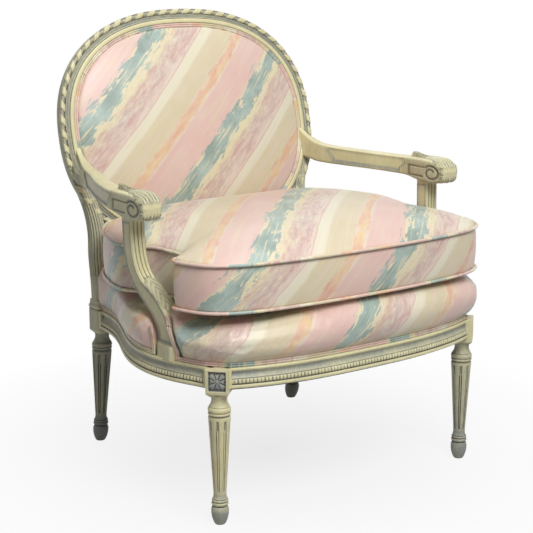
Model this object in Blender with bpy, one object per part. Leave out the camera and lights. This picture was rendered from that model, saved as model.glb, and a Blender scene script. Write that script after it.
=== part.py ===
"""Open-arm upholstered armchair with an oval back, turned legs and a loose T-shaped seat cushion.

Metres, +Z up, the chair faces -Y and stands on z = 0. Left is -X, as seen from the front.
"""

import math

import bmesh
import bpy
from mathutils import Vector

# Driving dimensions: fits
FIT = 0.0003

# Driving dimensions: the seat, to which the other places are tied
SEAT_HALF_WIDTH = 0.359
FRONT_LEG_Y = -0.270
BACK_POST_Y = 0.222
BLOCK_BOTTOM = 0.250

# Driving dimensions: front legs
FRONT_LEG_X = 0.8203 * SEAT_HALF_WIDTH
FRONT_BLOCK = 0.042
LEG_PROUD = 0.005
RING_DROP = 0.0405
FOOT_HEIGHT = 0.0368
TAPER_BOTTOM = 0.0627
LEG_TOP_RADIUS = 0.0205
LEG_TOE_RADIUS = 0.0121
FOOT_RADIUS = 0.0160
FOOT_TIP_RADIUS = 0.0095
LEG_SIDES = 16

# Driving dimensions: back posts
BACK_POST_X = 0.72 * SEAT_HALF_WIDTH
BACK_FOOT_X = 0.9776 * BACK_POST_X
BACK_FOOT_Y = 1.1374 * BACK_POST_Y
BACK_BLOCK = 0.041
POST_WIDTH = 0.040
POST_NECK = 0.034
POST_HEAD = 0.029
POST_DEPTH = 0.034
POST_OUTSWING = 0.003

# Driving dimensions: seat rails
RAIL_BOTTOM = 1.04 * BLOCK_BOTTOM
SHOW_TOP = 1.190 * BLOCK_BOTTOM
RAIL_TOP = 1.272 * BLOCK_BOTTOM
BACK_BLOCK_TOP = 1.38 * BLOCK_BOTTOM
RAIL_THICK = 0.034
RAIL_SETBACK = 0.0015
SHOW_SETBACK = 0.0065
WELT_LEDGE = 0.0075
FRONT_BOW = 0.043
FRONT_BOW_POWER = 2.8
FRONT_ARC_HALF = 0.9745 * FRONT_LEG_X
SEAT_WIDEST_Y = 0.4444 * FRONT_LEG_Y
TENON_LENGTH = 0.009
TENON_THICK = 0.010
TENON_HEIGHT = 0.034
CORNER_BLOCK_DEPTH = 0.024
CORNER_BLOCK_HEIGHT = 0.036
SCREW_RADIUS = 0.0022
SCREW_HEAD_RADIUS = 0.0042
SCREW_LENGTH = 0.035

# Driving dimensions: oval back
BACK_RAKE = math.radians(12.67)
BACK_CENTRE_Y = 1.1892 * BACK_POST_Y
SEAM_HALF_WIDTH = 1.06 * BACK_POST_X
SEAM_HALF_HEIGHT = 0.2119
BACK_CENTRE_Z = 1.3824 * RAIL_TOP + SEAM_HALF_HEIGHT
OVAL_POWER = 2.39
FRAME_FACE = 0.040
FRAME_DEPTH = 0.038
REBATE_INNER = 0.010
FRONT_REBATE = 0.008
REAR_REBATE = 0.004
BAND_WIDTH = 0.0095
RIBBON_WIDTH = 0.0115
RIBBON_DROP = 0.0025
COVE_DEPTH = 0.005
CREST_JOINT = math.radians(38)
BASE_JOINT = math.radians(-52)
POST_JOIN = math.radians(-35)
DOWEL_RADIUS = 0.004
DOWEL_LENGTH = 0.036

# Driving dimensions: arms and their supports
ARM_FRONT_X = 0.9791 * SEAT_HALF_WIDTH
ARM_WIDTH = 0.045
ARM_BOTTOM = 1.7421 * RAIL_TOP
ARM_THICK = 0.036
ARM_ROOT_BOTTOM = ARM_BOTTOM + 0.345 * ARM_THICK
ARM_ROOT_TOP = ARM_ROOT_BOTTOM + 1.82 * ARM_THICK
VOLUTE_DROP = 0.009
VOLUTE_LENGTH = 0.039
SUPPORT_BASE_Y = 0.611 * FRONT_LEG_Y
SUPPORT_TOP_Y = 0.339 * FRONT_LEG_Y
SUPPORT_WIDTH = 0.033
SUPPORT_DEPTH = 0.033
SUPPORT_FOOT_DEPTH = 1.27 * SUPPORT_DEPTH
SUPPORT_TENON = 0.016
SUPPORT_TENON_LENGTH = 0.018
NOTCH_CLEARANCE = 0.0015

# Driving dimensions: seat upholstery
CORD_RADIUS = 0.0021
DECK_TOP = 1.2343 * RAIL_TOP
DECK_BULGE = 0.007
DECK_BULGE_FADE = 0.110
DECK_PADDING = 0.041
DECK_EDGE_ROLL = 0.053
WEBBING_WIDTH = 0.050
WEBBING_THICK = 0.0012
WEBBING_PITCH_X = 0.145
WEBBING_PITCH_Y = 0.130
WEBBING_MIDDLE_Y = 0.26 * FRONT_LEG_Y
WEBBING_TACKED = 0.022
SPRING_RADIUS = 0.036
SPRING_WAIST = 0.026
SPRING_WIRE = 0.0018
SPRING_TURNS = 3
BURLAP_THICK = 0.0012
DUST_COVER_THICK = 0.0008
DUST_COVER_INSET = 0.010

# Driving dimensions: back upholstery
BACK_PAD_CROWN = 0.040
BACK_PANEL_THICK = 0.0022
BACK_PANEL_CROWN = 0.006
BACK_WEBBING_X = 0.31 * SEAM_HALF_WIDTH
BACK_WEBBING_H = 0.33 * SEAM_HALF_HEIGHT
STRAP_END_CLEARANCE = 0.003

# Driving dimensions: loose cushion
CUSHION_FRONT_Y = 1.211 * FRONT_LEG_Y
CUSHION_BACK_Y = 0.8243 * BACK_POST_Y
CUSHION_EAR_HALF = 0.9582 * SEAT_HALF_WIDTH
CUSHION_EAR_BACK_Y = 1.2 * SUPPORT_BASE_Y
CUSHION_BACK_HALF = 1.0135 * BACK_POST_X
CUSHION_LOW_SEAM = 1.0178 * DECK_TOP
CUSHION_BOXING = 0.085
CUSHION_HIGH_SEAM = CUSHION_LOW_SEAM + CUSHION_BOXING
CUSHION_CROWN = 0.057
CUSHION_BOX_SWELL = 0.006
CUSHION_WELT_RADIUS = 0.0032

# Sizes worked out from the driving ones
TONGUE_INSET = SHOW_SETBACK + WELT_LEDGE
WELT_THICK = 2 * CORD_RADIUS * math.cos(math.pi / 8)
WELT_HEIGHT = 4 * CORD_RADIUS
LIP_INSET = SHOW_SETBACK + WELT_THICK + 2 * FIT
FRAME_UP = Vector((0, math.sin(BACK_RAKE), math.cos(BACK_RAKE)))
FRAME_FRONT = Vector((0, -math.cos(BACK_RAKE), math.sin(BACK_RAKE)))
FRAME_CENTRE = Vector((0, BACK_CENTRE_Y, BACK_CENTRE_Z))
BACK_RAIL_OUTER_Y = BACK_POST_Y + BACK_BLOCK / 2 - RAIL_SETBACK
SIDE_RAIL_BACK_X = BACK_POST_X + BACK_BLOCK / 2 - RAIL_SETBACK
SIDE_RAIL_BACK_Y = BACK_POST_Y - BACK_BLOCK / 2
ARM_TOP = ARM_BOTTOM + ARM_THICK
STRAP_TOP = RAIL_BOTTOM - FIT
CROSS_STRAP_TOP = STRAP_TOP - WEBBING_THICK - FIT
DUST_COVER_TOP = CROSS_STRAP_TOP - WEBBING_THICK - FIT
CAVITY_TOP = DECK_TOP - DECK_PADDING
BURLAP_TOP = CAVITY_TOP - FIT
SPRING_TOP = BURLAP_TOP - BURLAP_THICK - FIT
SPRING_BOTTOM = STRAP_TOP + FIT

CREAM_PAINT = (0.80, 0.76, 0.58)
HIDDEN_BEECH = (0.62, 0.47, 0.30)
STRIPED_SATIN = (0.84, 0.69, 0.66)
ROSE_CORD = (0.82, 0.66, 0.64)
JUTE = (0.52, 0.40, 0.24)
BLACK_CAMBRIC = (0.06, 0.06, 0.06)
SPRING_STEEL = (0.42, 0.40, 0.37)
SCREW_STEEL = (0.60, 0.58, 0.52)

# Scene and modelling helpers

for leftover in list(bpy.data.objects):
    bpy.data.objects.remove(leftover, do_unlink=True)

scene_objects = bpy.context.scene.collection.objects


def add_empty(name, location):
    empty = bpy.data.objects.new(name, None)
    empty.location = location
    scene_objects.link(empty)
    return empty


chair = add_empty("chair", (0, 0, 0))
cushion_slide = add_empty("cushion_slide", (0, 0, CUSHION_LOW_SEAM))


def paint(name, colour, roughness, metallic=0.0):
    material = bpy.data.materials.new(name)
    material.use_nodes = True
    shader = material.node_tree.nodes["Principled BSDF"]
    shader.inputs["Base Color"].default_value = (*colour, 1)
    shader.inputs["Roughness"].default_value = roughness
    shader.inputs["Metallic"].default_value = metallic
    return material


def add_mesh(name, bm, material=None, parent=None):
    """A mesh object in world coordinates, hung under the chair or the cushion's empty."""
    bmesh.ops.recalc_face_normals(bm, faces=bm.faces)
    mesh = bpy.data.meshes.new(name)
    bm.to_mesh(mesh)
    bm.free()
    mesh.shade_smooth()
    mesh.set_sharp_from_angle(angle=math.radians(35))
    obj = bpy.data.objects.new(name, mesh)
    scene_objects.link(obj)
    if material:
        mesh.materials.append(paint(name, *material))
    parent = parent or chair
    obj.parent = parent
    obj.matrix_parent_inverse = parent.matrix_basis.inverted()
    return obj


def loft(name, rings, material=None, parent=None, closed_path=False):
    """A solid through a row of rings with equal counts of points, capped unless it closes on itself."""
    bm = bmesh.new()
    rows = [[bm.verts.new(point) for point in ring] for ring in rings]
    steps = list(zip(rows, rows[1:]))
    if closed_path:
        steps.append((rows[-1], rows[0]))
    for low, high in steps:
        for i in range(len(low)):
            j = (i + 1) % len(low)
            bm.faces.new((low[i], low[j], high[j], high[i]))
    if not closed_path:
        bm.faces.new(rows[0])
        bm.faces.new(rows[-1])
    return add_mesh(name, bm, material, parent)


def prism(name, plan, bottom, top, material=None, parent=None):
    rings = [[Vector((x, y, z)) for x, y in plan] for z in (bottom, top)]
    return loft(name, rings, material, parent)


def rod(name, start, end, radius, sides=10, material=None):
    """A round bar between two points."""
    axis = (end - start).normalized()
    side = axis.orthogonal().normalized()
    across = axis.cross(side)
    angles = [2 * math.pi * i / sides for i in range(sides)]
    around = [side * math.cos(a) + across * math.sin(a) for a in angles]
    return loft(name, [[p + radius * d for d in around] for p in (start, end)], material)


def as_tool(obj):
    """A helper shape that only joins or cuts another one."""
    obj.hide_render = True
    obj.display_type = "WIRE"
    return obj


def combine(obj, tool, operation, solver="EXACT"):
    modifier = obj.modifiers.new(f"{operation.lower()} {tool.name}", "BOOLEAN")
    modifier.operation = operation
    modifier.solver = solver
    modifier.object = as_tool(tool)


def cut(obj, tool, solver="EXACT"):
    combine(obj, tool, "DIFFERENCE", solver)


def square(centre_x, centre_y, half, turn=0.0):
    """Plan corners of a square block, turned about its centre."""
    reach = half * math.sqrt(2)
    angles = [turn + math.radians(45 + 90 * i) for i in range(4)]
    return [(centre_x + reach * math.cos(a), centre_y + reach * math.sin(a)) for a in angles]


def bezier(start, start_handle, end_handle, end, steps):
    """Points of a cubic curve in plan, both ends included."""
    points = []
    for i in range(steps + 1):
        t = i / steps
        weights = ((1 - t) ** 3, 3 * t * (1 - t) ** 2, 3 * t * t * (1 - t), t**3)
        ends = (start, start_handle, end_handle, end)
        points.append(sum((w * p for w, p in zip(weights, ends)), Vector((0, 0))))
    return points


def smooth_path(points, steps):
    """A curve through every given point, with so many steps between neighbours."""
    padded = [2 * points[0] - points[1], *points, 2 * points[-1] - points[-2]]
    path = []
    for before, start, end, after in zip(padded, padded[1:], padded[2:], padded[3:]):
        for i in range(steps):
            t = i / steps
            bend = 2 * before - 5 * start + 4 * end - after
            turn = -before + 3 * start - 3 * end + after
            path.append(start + 0.5 * t * (end - before + t * (bend + t * turn)))
    return [*path, points[-1]]


# Plan of the seat: one bowed front, two swelling sides and a straight back

LEG_CORNER = FRONT_BLOCK / 2 * math.sqrt(2)
FRONT_END_Y = FRONT_LEG_Y - LEG_CORNER + LEG_PROUD
SIDE_START = Vector((FRONT_LEG_X + LEG_CORNER - LEG_PROUD, FRONT_LEG_Y + FRONT_LEG_X - FRONT_ARC_HALF))
SIDE_START_WAY = Vector((0.33, 0.94))
ARC_STEPS = 8
SIDE_STEPS = 12


def front_arc(x):
    """The bowed front edge, nearly flat in the middle and turning back towards the legs."""
    return Vector((x, FRONT_END_Y - FRONT_BOW * (1 - abs(x / FRONT_ARC_HALF) ** FRONT_BOW_POWER)))


def side_curve():
    """Right-hand outer edge of the seat, from the front leg to the back post."""
    widest = Vector((SEAT_HALF_WIDTH, SEAT_WIDEST_Y))
    end = Vector((SIDE_RAIL_BACK_X, SIDE_RAIL_BACK_Y))
    handle = Vector((0, 0.4 * (end.y - widest.y)))
    lead = Vector((0, 0.4 * (widest.y - SIDE_START.y)))
    near = SIDE_START + SIDE_START_WAY * lead.y
    front = bezier(SIDE_START, near, widest - lead, widest, SIDE_STEPS // 2)
    back = bezier(widest, widest + handle, end - handle, end, SIDE_STEPS)
    return front + back[1:]


def seat_outline():
    """Closed plan of the seat's outer edge, anticlockwise from the middle of the front."""
    half = [front_arc(FRONT_ARC_HALF * i / ARC_STEPS) for i in range(ARC_STEPS + 1)]
    half += side_curve()[:-1]
    half.append(Vector((SIDE_RAIL_BACK_X, BACK_RAIL_OUTER_Y)))
    half.append(Vector((0, BACK_RAIL_OUTER_Y)))
    return half + [Vector((-p.x, p.y)) for p in reversed(half[1:-1])]


def inset(outline, distance):
    """The closed plan moved inwards, corner by corner."""
    moved = []
    for before, point, after in zip(outline[-1:] + outline, outline, outline[1:] + outline[:1]):
        first = (point - before).normalized()
        second = (after - point).normalized()
        normals = [Vector((-way.y, way.x)) for way in (first, second)]
        middle = (normals[0] + normals[1]).normalized()
        moved.append(point + middle * distance / middle.dot(normals[0]))
    return moved


def at_height(plan, z):
    return [Vector((p.x, p.y, z)) for p in plan]


def outline_width(y):
    """Half width of the seat's outer edge at a depth on its sides."""
    curve = side_curve()
    for near, far in zip(curve, curve[1:]):
        if near.y <= y <= far.y:
            return near.x + (far.x - near.x) * (y - near.y) / (far.y - near.y)
    return curve[-1].x


# Oval back frame: points by angle, distance out from the seam, and height above its plane


def oval_point(angle, out, forward):
    cosine, sine = math.cos(angle), math.sin(angle)
    power = 2 / OVAL_POWER
    x = math.copysign(abs(cosine) ** power, cosine) * SEAM_HALF_WIDTH
    h = math.copysign(abs(sine) ** power, sine) * SEAM_HALF_HEIGHT
    normal_x = math.copysign(abs(cosine) ** (2 - power), cosine) / SEAM_HALF_WIDTH
    normal_h = math.copysign(abs(sine) ** (2 - power), sine) / SEAM_HALF_HEIGHT
    normal = Vector((normal_x, normal_h)).normalized()
    across = Vector((x + out * normal.x, 0, 0))
    return FRAME_CENTRE + across + (h + out * normal.y) * FRAME_UP + forward * FRAME_FRONT


def oval_ring(out, forward, count):
    """The whole oval as one ring of points."""
    step = 2 * math.pi / count
    return [oval_point(step * (i + 0.5), out, forward) for i in range(count)]


def frame_profile(plain):
    """Section of the oval frame: rebates, band, cove and ribbon, or a plain seat for the arm."""
    seam_edge = WELT_HEIGHT + 2 * FIT
    band_end = seam_edge + BAND_WIDTH
    ribbon_start = FRAME_FACE - RIBBON_WIDTH
    cove = 0.0 if plain else -COVE_DEPTH
    ribbon = 0.0 if plain else -RIBBON_DROP
    back = -FRAME_DEPTH
    return [
        (-REBATE_INNER, back + REAR_REBATE),
        (-REBATE_INNER, -FRONT_REBATE),
        (seam_edge, -FRONT_REBATE),
        (seam_edge, 0.0),
        (band_end, 0.0),
        (0.5 * (band_end + ribbon_start), cove),
        (ribbon_start, 0.8 * cove),
        (ribbon_start + 0.30 * RIBBON_WIDTH, ribbon),
        (ribbon_start + 0.62 * RIBBON_WIDTH, ribbon),
        (FRAME_FACE - 0.12 * RIBBON_WIDTH, ribbon - 0.4 * RIBBON_WIDTH),
        (FRAME_FACE, -RIBBON_WIDTH),
        (FRAME_FACE, back + 0.006),
        (FRAME_FACE - 0.006, back),
        (WELT_HEIGHT, back),
        (WELT_HEIGHT, back + REAR_REBATE),
    ]


def even_angles(start, end, steps):
    return [start + (end - start) * i / steps for i in range(steps + 1)]


def frame_segment(name, stretches, material=None):
    """A piece of the oval frame, from stretches of angles that are moulded or plain."""
    rings = []
    for angles, plain in stretches:
        for angle in angles:
            rings.append([oval_point(angle, out, forward) for out, forward in frame_profile(plain)])
    return loft(name, rings, material)


def height_angle(z):
    """Angle on the right-hand side of the seam at a height."""
    rise = (z - BACK_CENTRE_Z) / math.cos(BACK_RAKE) / SEAM_HALF_HEIGHT
    return math.asin(math.copysign(abs(rise) ** (OVAL_POWER / 2), rise))


WOOD = (CREAM_PAINT, 0.5)
ARM_SEAT = (height_angle(ARM_ROOT_BOTTOM - 0.006), height_angle(ARM_ROOT_TOP + 0.006))
ANGLE_FIT = FIT / SEAM_HALF_HEIGHT
FRAME_MIDDLE = ((FRAME_FACE - REBATE_INNER) / 2 + 0.004, -(FRAME_DEPTH + FRONT_REBATE) / 2)


# Turned legs


def leg_profile():
    """Radius and height of the turned leg, from the floor to the square block."""
    ring = BLOCK_BOTTOM - RING_DROP
    neck = LEG_TOP_RADIUS - 0.0055
    collar = FOOT_RADIUS - 0.0003
    return [
        (FOOT_TIP_RADIUS, 0.0),
        (0.5 * (FOOT_TIP_RADIUS + FOOT_RADIUS), 0.16 * FOOT_HEIGHT),
        (FOOT_RADIUS - 0.0004, 0.49 * FOOT_HEIGHT),
        (FOOT_RADIUS, 0.73 * FOOT_HEIGHT),
        (FOOT_RADIUS - 0.0018, FOOT_HEIGHT),
        (collar, FOOT_HEIGHT + 0.004),
        (collar, FOOT_HEIGHT + 0.0125),
        (LEG_TOE_RADIUS, TAPER_BOTTOM - 0.006),
        (LEG_TOE_RADIUS, TAPER_BOTTOM),
        (LEG_TOP_RADIUS, ring - 0.001),
        (LEG_TOP_RADIUS - 0.0012, ring),
        (LEG_TOP_RADIUS + 0.0008, ring + 0.06 * RING_DROP),
        (LEG_TOP_RADIUS + 0.0008, ring + 0.21 * RING_DROP),
        (neck, ring + 0.52 * RING_DROP),
        (neck, ring + 0.69 * RING_DROP),
        (LEG_TOP_RADIUS - 0.0020, ring + 0.89 * RING_DROP),
        (LEG_TOP_RADIUS - 0.0020, BLOCK_BOTTOM + 0.004),
    ]


def turned_leg(name, foot, head):
    """The turning, leant from its foot to its head with every ring level."""
    angles = [2 * math.pi * (i + 0.5) / LEG_SIDES for i in range(LEG_SIDES)]
    around = [Vector((math.cos(a), math.sin(a))) for a in angles]
    rings = []
    for radius, z in leg_profile():
        centre = foot.lerp(head, z / BLOCK_BOTTOM)
        rings.append(at_height([centre + radius * d for d in around], z))
    return loft(name, rings, WOOD)


def front_block_plan(half, setback=0.0):
    """Plan of the right front leg's block, whose outer face looks along the diagonal."""
    out = Vector((1, -1)).normalized()
    along = Vector((1, 1)).normalized()
    centre = Vector((FRONT_LEG_X, FRONT_LEG_Y))
    corners = ((half - setback, -half), (half - setback, half), (-half, half), (-half, -half))
    return [centre + out * a + along * b for a, b in corners]


def seat_corner_reach():
    """Distance of the seat's cut corner from the leg's axis, along the diagonal."""
    seat_corner = (front_arc(FRONT_ARC_HALF) + SIDE_START) / 2 - Vector((FRONT_LEG_X, FRONT_LEG_Y))
    return seat_corner.dot(Vector((1, -1)).normalized())


def tongue_setback():
    """How far the leg's top stands back from its show face, to line up with the rails' tongues."""
    return FRONT_BLOCK / 2 - seat_corner_reach() + TONGUE_INSET + 4 * FIT


def mirrored(plan, side):
    return [(side * x, y) for x, y in plan]


def front_block_tool(side, half):
    """The block as a cutter, run through the whole height of the rails."""
    plan = mirrored(front_block_plan(half), side)
    return prism(f"front block tool {side} {half:.4f}", plan, BLOCK_BOTTOM - 0.02, RAIL_TOP + 0.01)


def back_block_tool(side, half):
    plan = square(side * BACK_POST_X, BACK_POST_Y, half)
    top = BACK_BLOCK_TOP + 2 * BACK_BLOCK
    return prism(f"back block tool {side} {half:.4f}", plan, BLOCK_BOTTOM - 0.02, top)


TENON_ROOT = 0.003
TENON_BOTTOM = (RAIL_BOTTOM + RAIL_TOP - TENON_HEIGHT) / 2


def tenon(name, joint, way, grow):
    """A tenon that reaches into a leg from the face at the joint, or the mortise that takes it."""
    way = way.normalized()
    across = Vector((-way.y, way.x)) * (TENON_THICK / 2 + grow)
    start = joint - way * TENON_ROOT
    end = joint + way * (TENON_LENGTH + grow)
    plan = [start + across, start - across, end - across, end + across]
    return prism(name, plan, TENON_BOTTOM - grow, TENON_BOTTOM + TENON_HEIGHT + grow)


def rail_joints(side):
    """Where each rail's tongue meets a leg: the tenon's middle on the leg's face and the way into the leg."""
    leg = Vector((FRONT_LEG_X, FRONT_LEG_Y))
    out, along = Vector((1, -1)).normalized(), Vector((1, 1)).normalized()
    tongue_middle = (TONGUE_INSET + RAIL_THICK) / 2
    front_line = leg + out * (seat_corner_reach() - 0.95 * tongue_middle)
    half_front, half_back = FRONT_BLOCK / 2, BACK_BLOCK / 2
    side_face = Vector((SIDE_RAIL_BACK_X - tongue_middle, BACK_POST_Y - half_back))
    back_face = Vector((BACK_POST_X - half_back, BACK_RAIL_OUTER_Y - tongue_middle))
    joints = {
        "front": (front_line - along * half_front, along),
        "side front": (front_line + along * half_front, -along),
        "side back": (side_face, Vector((0, 1))),
        "back": (back_face, Vector((1, 0))),
    }
    flip = Vector((side, 1))
    return {name: (point * flip, way * flip) for name, (point, way) in joints.items()}


def screw_line(side, place):
    """Head end and point of the screw that ties a corner block to its leg."""
    if place == "front":
        way = Vector((1, -1, 0)).normalized()
        face = Vector((FRONT_LEG_X, FRONT_LEG_Y, 0)) - way * (FRONT_BLOCK / 2)
    else:
        way = Vector((1, 1, 0)).normalized()
        corner = BACK_BLOCK / 2
        face = Vector((BACK_POST_X - corner, BACK_POST_Y - corner, 0))
    head = face - way * (CORNER_BLOCK_DEPTH + FIT)
    middle = (RAIL_BOTTOM + RAIL_TOP) / 2
    ends = [head, head + way * SCREW_LENGTH]
    return [Vector((side * p.x, p.y, middle)) for p in ends]


def screw(name, side, place, grow=0.0, material=None):
    """A wood screw with a round head, or the hole that takes it."""
    head, point = screw_line(side, place)
    way = (point - head).normalized()
    head_top = head - way * (SCREW_HEAD_RADIUS * 0.6 + grow)
    body = [(0.7 * SCREW_HEAD_RADIUS, head_top), (SCREW_HEAD_RADIUS, head - way * FIT)]
    body += [(SCREW_RADIUS, head - way * FIT), (SCREW_RADIUS, point + way * grow)]
    up = Vector((0, 0, 1))
    across = way.cross(up)
    angles = [2 * math.pi * i / 8 for i in range(8)]
    around = [across * math.cos(a) + up * math.sin(a) for a in angles]
    return loft(name, [[p + (radius + grow) * d for d in around] for radius, p in body], material)


def side_name(side):
    return "left" if side < 0 else "right"


def build_front_leg(side):
    name = f"front_leg_{side_name(side)}"
    axis = Vector((side * FRONT_LEG_X, FRONT_LEG_Y))
    leg = turned_leg(name, axis, axis)
    lower = mirrored(front_block_plan(FRONT_BLOCK / 2), side)
    upper = mirrored(front_block_plan(FRONT_BLOCK / 2, tongue_setback()), side)
    combine(leg, prism(f"{name} block", lower, BLOCK_BOTTOM, SHOW_TOP), "UNION")
    combine(leg, prism(f"{name} upper", upper, SHOW_TOP - 0.01, RAIL_TOP), "UNION")
    for joint in ("front", "side front"):
        cut(leg, tenon(f"{name} {joint} mortise", *rail_joints(side)[joint], FIT))
    cut(leg, screw(f"{name} screw hole", side, "front", FIT))


# Back posts: leg, block, swelling reeded post and one side of the oval, from one plank


def post_rings(side, grow):
    """Level rings of the post, from inside its block up into the oval."""
    top = oval_point(POST_JOIN, 0.6 * FRAME_FACE, -FRAME_DEPTH / 2)
    low = Vector((BACK_POST_X, BACK_POST_Y, BACK_BLOCK_TOP - 0.02))
    rise = top - low
    swing = Vector((POST_OUTSWING, 0, 0))
    stations = [low, low + 0.18 * rise, low + 0.45 * rise + swing, low + 0.75 * rise + 0.6 * swing, top]
    widths = [POST_NECK, POST_NECK, POST_WIDTH, POST_WIDTH - 0.004, POST_HEAD]
    rings = []
    for i, centre in enumerate(smooth_path(stations, 3)):
        low_station = min(i // 3, len(widths) - 2)
        share = i / 3 - low_station
        half_x = (widths[low_station] * (1 - share) + widths[low_station + 1] * share) / 2 + grow
        half_y = POST_DEPTH / 2 + grow
        shape = ((1, -0.6), (1, 0.6), (0.7, 1), (-0.7, 1))
        shape += ((-1, 0.6), (-1, -0.6), (-0.6, -1), (0.6, -1))
        ring = [(side * (centre.x + a * half_x), centre.y + b * half_y, centre.z) for a, b in shape]
        rings.append([Vector(p) for p in ring])
    return rings


def post_stretches(side):
    """Angles along the post's side of the oval, moulded but for the arm's seat."""
    blend = 0.02
    below = even_angles(BASE_JOINT + ANGLE_FIT, ARM_SEAT[0] - blend, 8)
    seat = even_angles(*ARM_SEAT, 4)
    above = even_angles(ARM_SEAT[1] + blend, CREST_JOINT - ANGLE_FIT, 8)
    stretches = [(below, False), (seat, True), (above, False)]
    if side > 0:
        return stretches
    return [([math.pi - angle for angle in angles], plain) for angles, plain in stretches]


def build_back_post(side):
    name = f"back_post_{side_name(side)}"
    foot = Vector((side * BACK_FOOT_X, BACK_FOOT_Y))
    head = Vector((side * BACK_POST_X, BACK_POST_Y))
    post = turned_leg(name, foot, head)
    plan = square(side * BACK_POST_X, BACK_POST_Y, BACK_BLOCK / 2)
    combine(post, prism(f"{name} block", plan, BLOCK_BOTTOM, BACK_BLOCK_TOP), "UNION")
    combine(post, loft(f"{name} stile", post_rings(side, 0)), "UNION")
    combine(post, frame_segment(f"{name} oval", post_stretches(side)), "UNION")
    for joint in ("side back", "back"):
        cut(post, tenon(f"{name} {joint} mortise", *rail_joints(side)[joint], FIT))
    cut(post, screw(f"{name} screw hole", side, "back", FIT))
    for angle in (CREST_JOINT, BASE_JOINT):
        cut(post, frame_dowel(f"{name} dowel hole {angle:.2f}", side, angle, FIT))
    cut(post, arm_dowel(f"{name} arm dowel hole", side, FIT))


def frame_dowel(name, side, angle, grow, material=None):
    """A dowel along the oval across one of its joints, or the hole for it."""
    angle = angle if side > 0 else math.pi - angle
    middle = oval_point(angle, *FRAME_MIDDLE)
    step = 0.01
    way = (oval_point(angle + step, *FRAME_MIDDLE) - oval_point(angle - step, *FRAME_MIDDLE)).normalized()
    half = way * (DOWEL_LENGTH / 2 + grow)
    return rod(name, middle - half, middle + half, DOWEL_RADIUS + grow, material=material)


def build_oval_rails():
    rails = {
        "crest_rail": (CREST_JOINT, math.pi - CREST_JOINT, 24),
        "back_base_rail": (math.pi - BASE_JOINT, 2 * math.pi + BASE_JOINT, 18),
    }
    joints = {"crest_rail": CREST_JOINT, "back_base_rail": BASE_JOINT}
    for name, (start, end, steps) in rails.items():
        angles = even_angles(start + ANGLE_FIT, end - ANGLE_FIT, steps)
        rail = frame_segment(name, [(angles, False)], WOOD)
        for side in (-1, 1):
            cut(rail, frame_dowel(f"{name} dowel hole {side}", side, joints[name], FIT))
    for side in (-1, 1):
        beech = (HIDDEN_BEECH, 0.6)
        frame_dowel(f"crest_dowel_{side_name(side)}", side, CREST_JOINT, 0, beech)
        frame_dowel(f"base_dowel_{side_name(side)}", side, BASE_JOINT, 0, beech)


# Seat rails with their stepped show face, welt ledge and tack tongue


def rail_profile():
    """Inset from the seat's outer edge and height, once round the rail's section."""
    step = (SHOW_TOP - RAIL_BOTTOM) / 8
    return [
        (0.0, RAIL_BOTTOM),
        (0.0, RAIL_BOTTOM + 1.2 * step),
        (0.3 * SHOW_SETBACK, RAIL_BOTTOM + 1.6 * step),
        (0.3 * SHOW_SETBACK, RAIL_BOTTOM + 3.6 * step),
        (0.8 * SHOW_SETBACK, RAIL_BOTTOM + 4.4 * step),
        (1.1 * SHOW_SETBACK, RAIL_BOTTOM + 6 * step),
        (0.7 * SHOW_SETBACK, RAIL_BOTTOM + 7 * step),
        (SHOW_SETBACK, SHOW_TOP),
        (TONGUE_INSET, SHOW_TOP),
        (TONGUE_INSET, RAIL_TOP),
        (RAIL_THICK, RAIL_TOP),
        (RAIL_THICK, RAIL_BOTTOM),
    ]


def rail_along(name, path, profile):
    """A rail swept along an open plan curve, which runs with the seat on its left."""
    rings = []
    for i, point in enumerate(path):
        way = (path[min(i + 1, len(path) - 1)] - path[max(i - 1, 0)]).normalized()
        inward = Vector((-way.y, way.x))
        rings.append([(*(point + inward * depth), z) for depth, z in profile])
    return loft(name, rings, WOOD)


END_OVERRUN = 0.012


def build_front_rail():
    last = FRONT_ARC_HALF + END_OVERRUN * 0.95
    path = [front_arc(FRONT_ARC_HALF * i / ARC_STEPS) for i in range(-ARC_STEPS, ARC_STEPS + 1)]
    path = [front_arc(-last), *path, front_arc(last)]
    rail = rail_along("seat_rail_front", path, rail_profile())
    for side in (-1, 1):
        cut(rail, front_block_tool(side, FRONT_BLOCK / 2 + FIT))
        combine(rail, tenon(f"front rail tenon {side}", *rail_joints(side)["front"], 0), "UNION")


def build_side_rail(side):
    name = f"seat_rail_{side_name(side)}"
    start = SIDE_START - SIDE_START_WAY.normalized() * END_OVERRUN
    end = Vector((SIDE_RAIL_BACK_X, SIDE_RAIL_BACK_Y + END_OVERRUN))
    path = [start, *side_curve(), end]
    if side < 0:
        path = [Vector((-p.x, p.y)) for p in reversed(path)]
    rail = rail_along(name, path, rail_profile())
    cut(rail, front_block_tool(side, FRONT_BLOCK / 2 + FIT))
    cut(rail, back_block_tool(side, BACK_BLOCK / 2 + FIT))
    for joint in ("side front", "side back"):
        combine(rail, tenon(f"{name} {joint} tenon", *rail_joints(side)[joint], 0), "UNION")
    cut(rail, support_tenon(f"{name} support mortise", side, "base", FIT))


def build_back_rail():
    reach = BACK_POST_X - BACK_BLOCK / 2 + END_OVERRUN
    path = [Vector((reach, BACK_RAIL_OUTER_Y)), Vector((-reach, BACK_RAIL_OUTER_Y))]
    rail = rail_along("seat_rail_back", path, rail_profile())
    for side in (-1, 1):
        cut(rail, back_block_tool(side, BACK_BLOCK / 2 + FIT))
        combine(rail, tenon(f"back rail tenon {side}", *rail_joints(side)["back"], 0), "UNION")


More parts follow.
